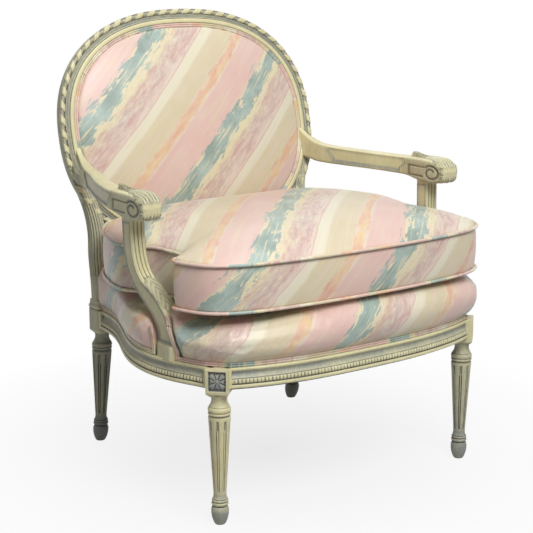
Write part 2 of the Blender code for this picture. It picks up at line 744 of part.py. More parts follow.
def corner_block_plan(place):
    """Plan of a right-hand corner block, its outer face against the leg, its ends short of the rails."""
    diagonal = math.sqrt(2)
    if place == "front":
        out = Vector((1, -1)) / diagonal
        along = Vector((1, 1)) / diagonal
        face = Vector((FRONT_LEG_X, FRONT_LEG_Y)) - out * (FRONT_BLOCK / 2 + FIT)
        reaches = [0.2 * FRONT_BLOCK, 0.2 * FRONT_BLOCK]
    else:
        out = Vector((1, 1)) / diagonal
        along = Vector((-1, 1)) / diagonal
        corner = Vector((BACK_POST_X - BACK_BLOCK / 2, BACK_POST_Y - BACK_BLOCK / 2))
        face = corner - out * FIT
        rail_faces = Vector((SIDE_RAIL_BACK_X - RAIL_THICK, BACK_RAIL_OUTER_Y - RAIL_THICK))
        reaches = [(gap - 2 * FIT) * diagonal for gap in rail_faces - corner]
    inner = face - out * CORNER_BLOCK_DEPTH
    wide = [reach + 0.8 * CORNER_BLOCK_DEPTH for reach in reaches]
    ends = (face - along * reaches[0], face + along * reaches[1])
    return [*ends, inner + along * wide[1], inner - along * wide[0]]


def build_corner_blocks():
    bottom = (RAIL_BOTTOM + RAIL_TOP - CORNER_BLOCK_HEIGHT) / 2
    for side in (-1, 1):
        for place in ("front", "back"):
            name = f"corner_block_{place}_{side_name(side)}"
            plan = mirrored(corner_block_plan(place), side)
            block = prism(name, plan, bottom, bottom + CORNER_BLOCK_HEIGHT, (HIDDEN_BEECH, 0.7))
            cut(block, screw(f"{name} screw hole", side, place, FIT))
            steel = (SCREW_STEEL, 0.35, 1.0)
            screw(f"corner_screw_{place}_{side_name(side)}", side, place, 0, steel)


# Arms and their swept supports


def arm_stations():
    """Depth, middle, underside, top and width of the arm, from its root at the frame to its nose."""
    root_x = oval_point(height_angle((ARM_ROOT_BOTTOM + ARM_ROOT_TOP) / 2), FRAME_FACE / 2, 0).x
    swing = ARM_FRONT_X - root_x
    volute = SUPPORT_TOP_Y - SUPPORT_DEPTH / 2 - NOTCH_CLEARANCE
    run = BACK_CENTRE_Y - volute
    sweep = (
        (0.08, 0.94, ARM_ROOT_BOTTOM - 0.10 * ARM_THICK, ARM_ROOT_TOP - 0.50 * ARM_THICK, 0.78),
        (0.18, 0.82, ARM_BOTTOM + 0.10 * ARM_THICK, ARM_TOP + 0.28 * ARM_THICK, 0.76),
        (0.34, 0.64, ARM_BOTTOM + 0.07 * ARM_THICK, ARM_TOP + 0.16 * ARM_THICK, 0.74),
        (0.53, 0.30, ARM_BOTTOM + 0.03 * ARM_THICK, ARM_TOP + 0.05 * ARM_THICK, 0.74),
        (0.74, 0.02, ARM_BOTTOM - 0.02 * ARM_THICK, ARM_TOP + 0.03 * ARM_THICK, 0.80),
        (0.92, 0.00, ARM_BOTTOM, ARM_TOP, 0.94),
        (1.00, 0.00, ARM_BOTTOM, ARM_TOP, 1.00),
    )
    nose = (
        (0.05, 0.67, 0.03, 1.0),
        (0.22, 1.00, 0.07, 1.02),
        (0.50, 0.89, 0.10, 1.02),
        (0.77, 0.44, 0.03, 1.0),
        (0.93, -0.22, -0.10, 0.93),
        (1.00, -1.00, -0.31, 0.84),
    )
    stations = []
    for share, inward, bottom, top, width in sweep:
        y, x = BACK_CENTRE_Y - share * run, ARM_FRONT_X - inward * swing
        stations.append((y, x, bottom, top, width * ARM_WIDTH))
    for share, drop, rise, width in nose:
        bottom, top = ARM_BOTTOM - drop * VOLUTE_DROP, ARM_TOP + rise * ARM_THICK
        stations.append((volute - share * VOLUTE_LENGTH, ARM_FRONT_X, bottom, top, width * ARM_WIDTH))
    return stations


ARM_SECTION = (
    (1, -0.8),
    (1, 0.55),
    (0.8, 0.88),
    (0.35, 1),
    (-0.35, 1),
    (-0.8, 0.88),
    (-1, 0.55),
    (-1, -0.8),
    (-0.8, -1),
    (0.8, -1),
)


def arm_root_ring():
    """Where the arm butts on the plain seat of the oval frame."""
    z_middle = (ARM_ROOT_BOTTOM + ARM_ROOT_TOP) / 2
    half_z = (ARM_ROOT_TOP - ARM_ROOT_BOTTOM) / 2
    x_middle = oval_point(height_angle(z_middle), FRAME_FACE / 2, 0).x
    ring = []
    for a, b in ARM_SECTION:
        z = z_middle + b * half_z
        h = (z - BACK_CENTRE_Z - FIT * math.sin(BACK_RAKE)) / math.cos(BACK_RAKE)
        point = FRAME_CENTRE + h * FRAME_UP + FIT * FRAME_FRONT
        ring.append(Vector((x_middle + a * (ARM_WIDTH - 0.006) / 2, point.y, point.z)))
    return ring


def build_arm(side):
    name = f"arm_{side_name(side)}"
    rings = [arm_root_ring()]
    for y, x, low, high, width in arm_stations():
        middle, half = (low + high) / 2, (high - low) / 2
        rings.append([Vector((x + a * width / 2, y, middle + b * half)) for a, b in ARM_SECTION])
    rings = [[Vector((side * p.x, p.y, p.z)) for p in ring] for ring in rings]
    arm = loft(name, rings, WOOD)
    cut(arm, support_tenon(f"{name} support mortise", side, "top", FIT))
    cut(arm, arm_dowel(f"{name} dowel hole", side, FIT))
    arm_dowel(f"arm_dowel_{side_name(side)}", side, 0, (HIDDEN_BEECH, 0.6))


def arm_dowel(name, side, grow, material=None):
    """The dowel that ties the arm's root to the back post."""
    middle = sum(arm_root_ring(), Vector()) / len(ARM_SECTION) - 0.4 * ARM_THICK * FRAME_UP
    half = FRAME_FRONT * (DOWEL_LENGTH / 2 + grow)
    ends = [middle - half, middle + half]
    start, end = [Vector((side * p.x, p.y, p.z)) for p in ends]
    return rod(name, start, end, DOWEL_RADIUS + grow, material=material)


def support_base_x():
    return outline_width(SUPPORT_BASE_Y) - TONGUE_INSET - SUPPORT_WIDTH / 2


def support_path():
    """Middle of the support, from the rail's tongue up to the arm."""
    base = Vector((support_base_x(), SUPPORT_BASE_Y, RAIL_TOP + FIT))
    top = Vector((ARM_FRONT_X, SUPPORT_TOP_Y, ARM_BOTTOM - FIT))
    lower = ((0, 0, 0), (0.08, 0.05, 0.13), (0.33, 0.31, 0.28))
    upper = ((0.72, 0.75, 0.46), (0.93, 0.94, 0.66), (1, 1, 1))
    rise = top - base
    points = [base + Vector((rise.x * a, rise.y * b, rise.z * c)) for a, b, c in lower + upper]
    return smooth_path(points, 2)


def support_rings(side, grow_y, inner, outer):
    """Rings square to the support's own line, as seen from the side."""
    path = support_path()
    rings = []
    for i, centre in enumerate(path):
        way = path[min(i + 1, len(path) - 1)] - path[max(i - 1, 0)]
        if i in (0, len(path) - 1):
            way = Vector((0, 0, 1))
        rise = (centre.z - path[0].z) / (path[-1].z - path[0].z)
        depth = SUPPORT_FOOT_DEPTH + (SUPPORT_DEPTH - SUPPORT_FOOT_DEPTH) * rise
        deep = Vector((0, way.z, -way.y)).normalized() * (depth / 2 + grow_y)
        soft = 0.7
        shape = ((outer, -soft), (outer, soft), (soft * outer, 1), (-soft * inner, 1))
        shape += ((-inner, soft), (-inner, -soft), (-soft * inner, -1), (soft * outer, -1))
        ring = [centre + Vector((a, 0, 0)) + b * deep for a, b in shape]
        rings.append([Vector((side * p.x, p.y, p.z)) for p in ring])
    return rings


def support_tenon(name, side, end, grow):
    """The stub at either end of the support, or its mortise."""
    path = support_path()
    inside = 0.008
    if end == "top":
        centre, low, high = path[-1], path[-1].z - inside, path[-1].z + SUPPORT_TENON_LENGTH + grow
    else:
        centre, low, high = path[0], path[0].z - SUPPORT_TENON_LENGTH - grow, path[0].z + inside
    x = centre.x
    if end == "base":
        x = outline_width(SUPPORT_BASE_Y) - (TONGUE_INSET + RAIL_THICK) / 2
    half = SUPPORT_TENON / 2 + grow
    plan = [(side * (x + a * half), centre.y + b * half) for a, b in ((1, -1), (1, 1), (-1, 1), (-1, -1))]
    return prism(name, plan, low, high)


def build_support(side):
    name = f"arm_support_{side_name(side)}"
    half = SUPPORT_WIDTH / 2
    support = loft(name, support_rings(side, 0, half, half), WOOD)
    for end in ("base", "top"):
        combine(support, support_tenon(f"{name} {end} tenon", side, end, 0), "UNION")


# Seat upholstery: webbing, springs, burlap, sprung pad, welts and dust cover


def span_at(outline, value, axis):
    """Both ends of a straight line across a closed plan, at a value of x or y."""
    other = 1 - axis
    hits = []
    for near, far in zip(outline, outline[1:] + outline[:1]):
        if (near[axis] - value) * (far[axis] - value) < 0:
            share = (value - near[axis]) / (far[axis] - near[axis])
            hits.append(near[other] + share * (far[other] - near[other]))
    return min(hits), max(hits)


def build_seat_webbing():
    tacks = inset(seat_outline(), RAIL_THICK - WEBBING_TACKED)
    half = WEBBING_WIDTH / 2
    jute = (JUTE, 0.9)
    for i in (-1, 0, 1):
        x = i * WEBBING_PITCH_X
        edges = [span_at(tacks, x + shift, 0) for shift in (-0.999 * half, 0.999 * half)]
        low, high = max(e[0] for e in edges), min(e[1] for e in edges)
        plan = [(x - half, low), (x + half, low), (x + half, high), (x - half, high)]
        prism(f"seat_webbing_long_{i + 2}", plan, STRAP_TOP - WEBBING_THICK, STRAP_TOP, jute)
        y = WEBBING_MIDDLE_Y + i * WEBBING_PITCH_Y
        edges = [span_at(tacks, y + shift, 1)[1] for shift in (-half, half)]
        reach = min(edges)
        plan = [(-reach, y - half), (reach, y - half), (reach, y + half), (-reach, y + half)]
        low = CROSS_STRAP_TOP - WEBBING_THICK
        prism(f"seat_webbing_cross_{i + 2}", plan, low, CROSS_STRAP_TOP, jute)


def build_springs():
    """Nine waisted coil springs, one over each crossing of the webbing."""
    points_per_turn = 8
    count = SPRING_TURNS * points_per_turn
    low, high = SPRING_BOTTOM + SPRING_WIRE, SPRING_TOP - SPRING_WIRE
    for row in (-1, 0, 1):
        for column in (-1, 0, 1):
            name = f"seat_spring_{3 * (row + 1) + column + 2}"
            curve = bpy.data.curves.new(name, "CURVE")
            curve.dimensions = "3D"
            curve.bevel_depth = SPRING_WIRE
            curve.bevel_resolution = 0
            curve.use_fill_caps = True
            spline = curve.splines.new("POLY")
            spline.points.add(count)
            for i, point in enumerate(spline.points):
                share = i / count
                angle = 2 * math.pi * SPRING_TURNS * share
                radius = SPRING_WAIST + (SPRING_RADIUS - SPRING_WAIST) * abs(2 * share - 1)
                z = low + (high - low) * share
                point.co = (radius * math.cos(angle), radius * math.sin(angle), z, 1)
            spring = bpy.data.objects.new(name, curve)
            spring.location = (column * WEBBING_PITCH_X, WEBBING_MIDDLE_Y + row * WEBBING_PITCH_Y, 0)
            spring.parent = chair
            scene_objects.link(spring)
            curve.materials.append(paint(name, SPRING_STEEL, 0.4, 1.0))


def swollen(outline, depth):
    """The plan moved inwards or out, with what swells out dying away towards the back posts."""
    flush = inset(outline, max(depth, 0.0))
    full = inset(outline, depth)
    ring = []
    for near, far in zip(flush, full):
        share = (SIDE_RAIL_BACK_Y - near.y) / DECK_BULGE_FADE
        ring.append(near.lerp(far, max(0.0, min(1.0, share))))
    return ring


def deck_rings():
    """Rings of the sprung pad: lip on the ledge, swelling side, top, then the hollow beneath."""
    outline = seat_outline()
    lip_bottom = SHOW_TOP + FIT
    welt_top = lip_bottom + WELT_HEIGHT + 2 * FIT
    height = DECK_TOP - welt_top
    profile = [
        (DECK_EDGE_ROLL, CAVITY_TOP),
        (DECK_EDGE_ROLL, RAIL_TOP + FIT),
        (TONGUE_INSET - FIT, RAIL_TOP + FIT),
        (TONGUE_INSET - FIT, lip_bottom),
        (LIP_INSET, lip_bottom),
        (LIP_INSET, welt_top),
        (0.3 * LIP_INSET, welt_top + 0.10 * height),
        (-0.7 * DECK_BULGE, welt_top + 0.28 * height),
        (-DECK_BULGE, welt_top + 0.45 * height),
        (-0.4 * DECK_BULGE, welt_top + 0.65 * height),
        (0.006, welt_top + 0.84 * height),
        (0.016, welt_top + 0.95 * height),
        (0.030, DECK_TOP),
    ]
    return [at_height(swollen(outline, depth), z) for depth, z in profile]


def build_deck():
    deck = loft("seat_deck_pad", deck_rings(), (STRIPED_SATIN, 0.6))
    far = 2 * ARM_WIDTH
    for side in (-1, 1):
        grow = NOTCH_CLEARANCE
        rings = support_rings(side, grow, SUPPORT_WIDTH / 2 + grow, far)
        under = [Vector((p.x, p.y, SHOW_TOP - 0.002)) for p in rings[0]]
        cut(deck, loft(f"deck support notch {side}", [under, *rings]), "MANIFOLD")
        cut(deck, back_block_tool(side, BACK_BLOCK / 2 + 2 * FIT), "MANIFOLD")
        cut(deck, loft(f"deck post notch {side}", post_rings(side, grow)), "MANIFOLD")


def build_burlap():
    plan = inset(seat_outline(), DECK_EDGE_ROLL + FIT)
    prism("spring_burlap", plan, BURLAP_TOP - BURLAP_THICK, BURLAP_TOP, (JUTE, 0.95))


def build_dust_cover():
    plan = inset(seat_outline(), DUST_COVER_INSET)
    bottom = DUST_COVER_TOP - DUST_COVER_THICK
    cover = prism("dust_cover", plan, bottom, DUST_COVER_TOP, (BLACK_CAMBRIC, 0.95))
    for side in (-1, 1):
        cut(cover, front_block_tool(side, FRONT_BLOCK / 2 + 2 * FIT))
        cut(cover, back_block_tool(side, BACK_BLOCK / 2 + 2 * FIT))


def double_cord(centre, out, up):
    """Section of a double welt: two cords side by side."""
    radius = CORD_RADIUS
    ring = []
    for sign in (-1, 1):
        for k in range(-2, 3):
            angle = sign * math.pi / 2 + k * math.pi / 4
            ring.append(centre + out * radius * math.cos(angle) + up * radius * (sign + math.sin(angle)))
    return ring


def welt_along(name, plan):
    """A double welt that stands on the rail's ledge, in front of the pad's lip."""
    up = Vector((0, 0, 1))
    z = SHOW_TOP + FIT + WELT_HEIGHT / 2
    rings = []
    for i, point in enumerate(plan):
        way = (plan[min(i + 1, len(plan) - 1)] - plan[max(i - 1, 0)]).normalized()
        out = Vector((way.y, -way.x, 0))
        rings.append(double_cord(Vector((point.x, point.y, z)), out, up))
    loft(name, rings, (ROSE_CORD, 0.6))


def build_seat_welts():
    middle = SHOW_SETBACK + FIT + WELT_THICK / 2
    curve = inset(seat_outline(), middle)
    half = len(curve) // 2
    right = curve[: half + 1]
    notch = SUPPORT_FOOT_DEPTH / 2 + NOTCH_CLEARANCE + FIT
    front = [p for p in right if p.y < SUPPORT_BASE_Y - notch]
    back_limit = BACK_POST_Y - BACK_BLOCK / 2 - FIT
    rear = [p for p in right if SUPPORT_BASE_Y + notch < p.y < back_limit and p.x > BACK_POST_X]
    front.append(edge_point(right, SUPPORT_BASE_Y - notch))
    rear = [edge_point(right, SUPPORT_BASE_Y + notch), *rear, edge_point(right, back_limit)]
    welt_along("seat_welt_front", [Vector((-p.x, p.y)) for p in reversed(front[1:])] + front)
    welt_along("seat_welt_right", rear)
    welt_along("seat_welt_left", [Vector((-p.x, p.y)) for p in reversed(rear)])
    reach = BACK_POST_X - BACK_BLOCK / 2 - 3 * FIT
    y = BACK_RAIL_OUTER_Y - middle
    welt_along("seat_welt_back", [Vector((reach, y)), Vector((-reach, y))])


def edge_point(curve, y):
    """The point of the right-hand side at a depth."""
    for near, far in zip(curve, curve[1:]):
        if near.y < y <= far.y:
            return near.lerp(far, (y - near.y) / (far.y - near.y))
    return curve[-1]


# Back upholstery: webbing, crowned pad, double welt and outside panel


def across_oval(share):
    """Half of the oval's chord, as a share, at a share of its half size the other way."""
    return (1 - share**OVAL_POWER) ** (1 / OVAL_POWER)


def build_back_webbing():
    floor = -FRONT_REBATE + FIT
    levels = {"upright": floor, "cross": floor + WEBBING_THICK + FIT}
    half = WEBBING_WIDTH / 2
    jute = (JUTE, 0.9)
    for i, sign in enumerate((-1, 1)):
        x = sign * BACK_WEBBING_X
        reach = across_oval((abs(x) + half) / SEAM_HALF_WIDTH) * SEAM_HALF_HEIGHT - STRAP_END_CLEARANCE
        corners = [(x - half, -reach), (x + half, -reach), (x + half, reach), (x - half, reach)]
        back_strap(f"back_webbing_upright_{i + 1}", corners, levels["upright"], jute)
        h = sign * BACK_WEBBING_H
        reach = across_oval((abs(h) + half) / SEAM_HALF_HEIGHT) * SEAM_HALF_WIDTH - STRAP_END_CLEARANCE
        corners = [(-reach, h - half), (reach, h - half), (reach, h + half), (-reach, h + half)]
        back_strap(f"back_webbing_cross_{i + 1}", corners, levels["cross"], jute)


def back_strap(name, corners, level, material):
    rings = []
    for forward in (level, level + WEBBING_THICK):
        base = FRAME_CENTRE + forward * FRAME_FRONT
        rings.append([base + Vector((x, 0, 0)) + h * FRAME_UP for x, h in corners])
    loft(name, rings, material)


def scaled_ring(ring, share, forward, middle):
    """A ring drawn in towards its middle and moved forward."""
    return [middle + (p - middle) * share + forward * FRAME_FRONT for p in ring]


def build_back_pad():
    back = -FRONT_REBATE + 2 * (WEBBING_THICK + FIT) + FIT
    outer = oval_ring(-FIT, 0, 44)
    rings = [scaled_ring(outer, 0.75, back, FRAME_CENTRE), scaled_ring(outer, 1, back, FRAME_CENTRE)]
    edge = -0.001
    for share in (1, 0.985, 0.95, 0.89, 0.8, 0.66, 0.48, 0.25):
        crown = BACK_PAD_CROWN * (1 - share**2) ** 0.75
        rings.append(scaled_ring(outer, share, edge + crown, FRAME_CENTRE))
    loft("back_pad", rings, (STRIPED_SATIN, 0.6))


def build_back_welt():
    count = 48
    radius = CORD_RADIUS
    centre_out = FIT + WELT_HEIGHT / 2
    forward = -FRONT_REBATE + FIT + radius * math.cos(math.pi / 8)
    rings = []
    for i in range(count):
        angle = 2 * math.pi * (i + 0.5) / count
        centre = oval_point(angle, centre_out, forward)
        across = (oval_point(angle, centre_out + 0.01, forward) - centre).normalized()
        rings.append(double_cord(centre, FRAME_FRONT, across))
    loft("back_welt", rings, (ROSE_CORD, 0.6), closed_path=True)


def build_back_panel():
    front = -FRAME_DEPTH + REAR_REBATE - FIT
    outer = oval_ring(WELT_HEIGHT - FIT, 0, 40)
    rings = [scaled_ring(outer, share, front, FRAME_CENTRE) for share in (0.5, 1)]
    for share in (1, 0.97, 0.9, 0.75, 0.5):
        crown = BACK_PANEL_THICK + BACK_PANEL_CROWN * (1 - share**2)
        rings.append(scaled_ring(outer, share, front - crown, FRAME_CENTRE))
    loft("outside_back_panel", rings, (STRIPED_SATIN, 0.6))


# Loose seat cushion with its two welts


def cushion_outline():
    """Closed plan of the T-shaped cushion at its seams, anticlockwise from the middle of the front."""
    body_half = support_base_x() - SUPPORT_WIDTH / 2
    body_length = CUSHION_BACK_Y - CUSHION_EAR_BACK_Y
    front_corner = Vector((0.92 * CUSHION_EAR_HALF, CUSHION_FRONT_Y + 1.21 * FRONT_BOW))
    ear = Vector((CUSHION_EAR_HALF, CUSHION_EAR_BACK_Y - 0.020))
    notch = Vector((body_half, CUSHION_EAR_BACK_Y + SUPPORT_DEPTH))
    corners = [
        Vector((0, CUSHION_FRONT_Y)),
        Vector((0.40 * CUSHION_EAR_HALF, CUSHION_FRONT_Y + 0.0045)),
        Vector((0.74 * CUSHION_EAR_HALF, CUSHION_FRONT_Y + 0.465 * FRONT_BOW)),
        front_corner,
        ear,
        Vector((CUSHION_EAR_HALF - 0.006, CUSHION_EAR_BACK_Y)),
        Vector((body_half + 0.010, CUSHION_EAR_BACK_Y + 0.3 * SUPPORT_DEPTH)),
        notch,
        Vector((body_half - 0.002, CUSHION_EAR_BACK_Y + 0.4475 * body_length)),
        Vector((0.27 * CUSHION_BACK_HALF + 0.73 * body_half + 0.010, CUSHION_BACK_Y - 0.215 * body_length)),
        Vector((CUSHION_BACK_HALF, CUSHION_BACK_Y - 0.014)),
        Vector((0.85 * CUSHION_BACK_HALF, CUSHION_BACK_Y - 0.001)),
        Vector((0, CUSHION_BACK_Y)),
    ]
    steps = 2
    mirrored_ends = [Vector((-corners[1].x, corners[1].y)), Vector((-corners[-2].x, corners[-2].y))]
    path = smooth_path([mirrored_ends[0], *corners, mirrored_ends[1]], steps)
    half = path[steps:-steps]
    return half + [Vector((-p.x, p.y)) for p in reversed(half[1:-1])]


def build_cushion():
    outline = cushion_outline()
    middle = Vector((0, 0.5 * (CUSHION_FRONT_Y + CUSHION_BACK_Y)))
    straight = 1.5 * CUSHION_WELT_RADIUS
    low, high = CUSHION_LOW_SEAM, CUSHION_HIGH_SEAM
    bottom = DECK_TOP + FIT
    under = low - straight
    rings = [at_height([middle + (p - middle) * 0.6 for p in outline], bottom)]
    rings.append(at_height([middle + (p - middle) * 0.93 for p in outline], bottom))
    rings.append(at_height(inset(outline, CUSHION_WELT_RADIUS), max(under, bottom + FIT)))
    for share in (0.0, 0.06, 0.2, 0.5, 0.8, 0.94, 1.0):
        swell = CUSHION_BOX_SWELL * max(0.0, math.sin(math.pi * share) - 0.2)
        rings.append(at_height(inset(outline, -swell), low + (high - low) * share))
    rings.append(at_height(inset(outline, CUSHION_WELT_RADIUS), high + straight))
    for share in (0.94, 0.86, 0.74, 0.58, 0.38, 0.16):
        crown = straight + (CUSHION_CROWN - straight) * (1 - share**2.4) ** 0.9
        rings.append(at_height([middle + (p - middle) * share for p in outline], high + crown))
    loft("seat_cushion", rings, (STRIPED_SATIN, 0.6), cushion_slide)
    path = inset(outline, -CUSHION_WELT_RADIUS - FIT)
    for name, z in (("cushion_welt_low", low), ("cushion_welt_high", high)):
        rings = []
        for before, point, after in zip(path[-1:] + path, path, path[1:] + path[:1]):
            way = (after - before).normalized()
            out = Vector((way.y, -way.x, 0))
            angles = [math.pi * k / 3 for k in range(6)]
            shape = [out * math.cos(a) + Vector((0, 0, math.sin(a))) for a in angles]
            rings.append([Vector((point.x, point.y, z)) + CUSHION_WELT_RADIUS * d for d in shape])
        loft(name, rings, (ROSE_CORD, 0.6), cushion_slide, closed_path=True)


# The chair, in the order a workshop puts it together

for each_side in (-1, 1):
    build_front_leg(each_side)
    build_back_post(each_side)
build_oval_rails()
build_front_rail()
build_back_rail()
for each_side in (-1, 1):
    build_side_rail(each_side)
    build_arm(each_side)
    build_support(each_side)
build_corner_blocks()
build_seat_webbing()
build_springs()
build_burlap()
build_deck()
build_seat_welts()
build_dust_cover()
build_back_webbing()
build_back_pad()
build_back_welt()
build_back_panel()
build_cushion()
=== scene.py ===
"""Open-arm upholstered armchair: carved cream frame, fluted legs, oval back and a loose T-shaped cushion."""

import math

import bmesh
import bpy
import numpy as np
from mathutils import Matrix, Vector


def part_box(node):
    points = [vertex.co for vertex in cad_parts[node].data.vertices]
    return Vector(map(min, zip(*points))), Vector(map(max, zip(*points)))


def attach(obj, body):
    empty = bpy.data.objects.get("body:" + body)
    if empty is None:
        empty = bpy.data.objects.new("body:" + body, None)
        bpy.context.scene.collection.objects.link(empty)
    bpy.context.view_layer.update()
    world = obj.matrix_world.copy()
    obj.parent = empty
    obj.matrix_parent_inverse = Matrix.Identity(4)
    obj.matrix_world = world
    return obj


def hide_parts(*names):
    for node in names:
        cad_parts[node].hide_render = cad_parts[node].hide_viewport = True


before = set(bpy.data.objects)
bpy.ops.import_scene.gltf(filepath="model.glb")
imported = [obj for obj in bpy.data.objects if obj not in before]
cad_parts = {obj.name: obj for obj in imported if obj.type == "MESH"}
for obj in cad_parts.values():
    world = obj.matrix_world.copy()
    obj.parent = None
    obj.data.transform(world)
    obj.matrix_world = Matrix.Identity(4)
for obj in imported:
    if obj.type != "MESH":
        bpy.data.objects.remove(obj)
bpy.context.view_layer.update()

# Front legs
# Each is turned from one length of beech with a square block left at its head. The rings, eight stop-fluted
# channels and the rosette are carved, then painted cream and wiped with a grey glaze.

LEG_LOW, LEG_HIGH = [Vector(corner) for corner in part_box("front_leg_right")]
LEG_X = (LEG_LOW.x + LEG_HIGH.x) / 2
LEG_Y = (LEG_LOW.y + LEG_HIGH.y) / 2
BLOCK_HALF = 0.021
BLOCK_BOTTOM = 0.250
SHOW_TOP = 0.2975
RAIL_TOP = 0.318
LEG_COLUMNS = 144
FLUTES = 8
FLUTE_SHARE = 0.38
FLUTE_DEPTH = 0.0024
FLUTE_BOTTOM = 0.0625
FLUTE_TOP = 0.2005
FLUTE_ROUND = 0.0042
REED_TOP = 0.181
PANEL_WIDE, PANEL_HIGH = 0.0160, 0.0182
PANEL_DEPTH = 0.0032
BUTTON_RADIUS = 0.0035
FACE_BOTTOM = 0.2518

# low, high, lower radius, upper radius, swell, steps, glaze, dark line
LEG_MOULDINGS = (
    (0.0000, 0.0030, 0.0092, 0.0112, 0.0000, 3, 0.75, 0.0),
    (0.0030, 0.0240, 0.0112, 0.0160, 0.0012, 10, 0.55, 0.0),
    (0.0240, 0.0350, 0.0160, 0.0138, 0.0010, 7, 0.30, 0.0),
    (0.0350, 0.0368, 0.0127, 0.0127, 0.0000, 3, 0.6, 1.0),
    (0.0368, 0.0430, 0.0142, 0.0142, 0.0015, 9, 0.12, 0.0),
    (0.0430, 0.0440, 0.0136, 0.0136, 0.0000, 2, 0.5, 0.9),
    (0.0440, 0.0482, 0.0139, 0.0138, 0.0013, 8, 0.10, 0.0),
    (0.0482, 0.0492, 0.0129, 0.0129, 0.0000, 2, 0.5, 0.9),
    (0.0492, 0.0575, 0.0138, 0.0120, -0.0007, 7, 0.30, 0.0),
    (0.0575, 0.2075, 0.01185, 0.0204, 0.0000, 76, 0.05, 0.0),
    (0.2075, 0.2092, 0.0187, 0.0187, 0.0000, 3, 0.6, 1.0),
    (0.2092, 0.2138, 0.0200, 0.0200, 0.0007, 6, 0.02, 0.0),
    (0.2138, 0.2146, 0.0193, 0.0193, 0.0000, 2, 0.4, 0.7),
    (0.2146, 0.2240, 0.0196, 0.0190, 0.0017, 11, 0.00, 0.0),
    (0.2240, 0.2248, 0.0183, 0.0183, 0.0000, 2, 0.4, 0.6),
    (0.2248, 0.2415, 0.0186, 0.0150, -0.0019, 16, 0.16, 0.0),
    (0.2415, 0.2466, 0.0150, 0.0172, -0.0005, 7, 0.16, 0.0),
    (0.2466, 0.2476, 0.0162, 0.0162, 0.0000, 2, 0.5, 1.0),
    (0.2476, 0.2560, 0.0166, 0.0166, 0.0000, 3, 0.30, 0.2),
)


class Shade:
    """One socket of a finish, so that its sums read as plain Python."""

    def __init__(self, finish, socket):
        self.finish = finish
        self.socket = socket

    def sum(self, operation, *others, clamp=False):
        settings = {"operation": operation, "use_clamp": clamp}
        return self.finish.node("ShaderNodeMath", settings, dict(enumerate((self, *others))))

    def __add__(self, other):
        return self.sum("ADD", other)

    __radd__ = __add__

    def __sub__(self, other):
        return self.sum("SUBTRACT", other)

    def __rsub__(self, other):
        return self.finish.node("ShaderNodeMath", {"operation": "SUBTRACT"}, {0: other, 1: self})

    def __mul__(self, other):
        return self.sum("MULTIPLY", other)

    __rmul__ = __mul__

    def __truediv__(self, other):
        return self.sum("DIVIDE", other)

    def __abs__(self):
        return self.sum("ABSOLUTE")

    def clip(self):
        """The value held between 0 and 1."""
        return self.sum("ADD", 0.0, clamp=True)

    def wrap(self):
        """What is left after the whole number."""
        return self.sum("FRACT")


class Finish:
    """A material whose nodes are added one by one and end in its Principled shader."""

    def __init__(self, name):
        self.material = bpy.data.materials.new(name)
        self.material.use_nodes = True
        self.tree = self.material.node_tree
        self.shader = self.tree.nodes["Principled BSDF"]

    def fill(self, socket, value):
        if isinstance(value, Shade):
            self.tree.links.new(value.socket, socket)
        elif isinstance(value, tuple) and len(value) == 3 and socket.type == "RGBA":
            socket.default_value = (*value, 1)
        else:
            socket.default_value = value

    def node(self, kind, settings=None, sockets=None, out=0):
        """A node of a kind, with its settings, then its sockets' values or links, and one of its outputs."""
        made = self.tree.nodes.new(kind)
        for key, value in (settings or {}).items():
            if key == "stops":
                ramp = made.color_ramp
                while len(ramp.elements) < len(value):
                    ramp.elements.new(1.0)
                for element, (position, colour) in zip(ramp.elements, value):
                    element.position = position
                    element.color = (*colour, 1)
            else:
                setattr(made, key, value)
        for key, value in (sockets or {}).items():
            self.fill(made.inputs[key], value)
        return Shade(self, made.outputs[out])

    def noise(self, place, scale, detail=3.0, roughness=0.5):
        sockets = {"Vector": place, "Scale": scale, "Detail": detail, "Roughness": roughness}
        return self.node("ShaderNodeTexNoise", None, sockets)

    def mix(self, share, first, second):
        settings = {"data_type": "RGBA", "clamp_factor": True}
        return self.node("ShaderNodeMix", settings, {0: share, 6: first, 7: second}, out=2)

    def point(self, x, y, z=0.0):
        return self.node("ShaderNodeCombineXYZ", None, {"X": x, "Y": y, "Z": z})

    def bump(self, height, distance, strength):
        sockets = {"Height": height, "Distance": distance, "Strength": strength}
        return self.node("ShaderNodeBump", None, sockets)

    def place(self):
        """Where a point lies on its own piece."""
        return self.node("ShaderNodeTexCoord", out="Object")

    def drawn_out(self, place, scale):
        """The place stretched, so that a noise in it runs in streaks."""
        return self.node("ShaderNodeMapping", None, {"Vector": place, "Scale": scale})

    def surface(self, **inputs):
        for name, value in inputs.items():
            self.fill(self.shader.inputs[name.replace("_", " ")], value)
        return self.material


CREAM = (0.740, 0.695, 0.430)
CREAM_WARM = (0.695, 0.625, 0.340)
CREAM_PALE = (0.785, 0.745, 0.540)
GREY_GLAZE = (0.285, 0.300, 0.245)
BLUE_GLAZE = (0.225, 0.250, 0.265)
UMBER = (0.042, 0.034, 0.024)


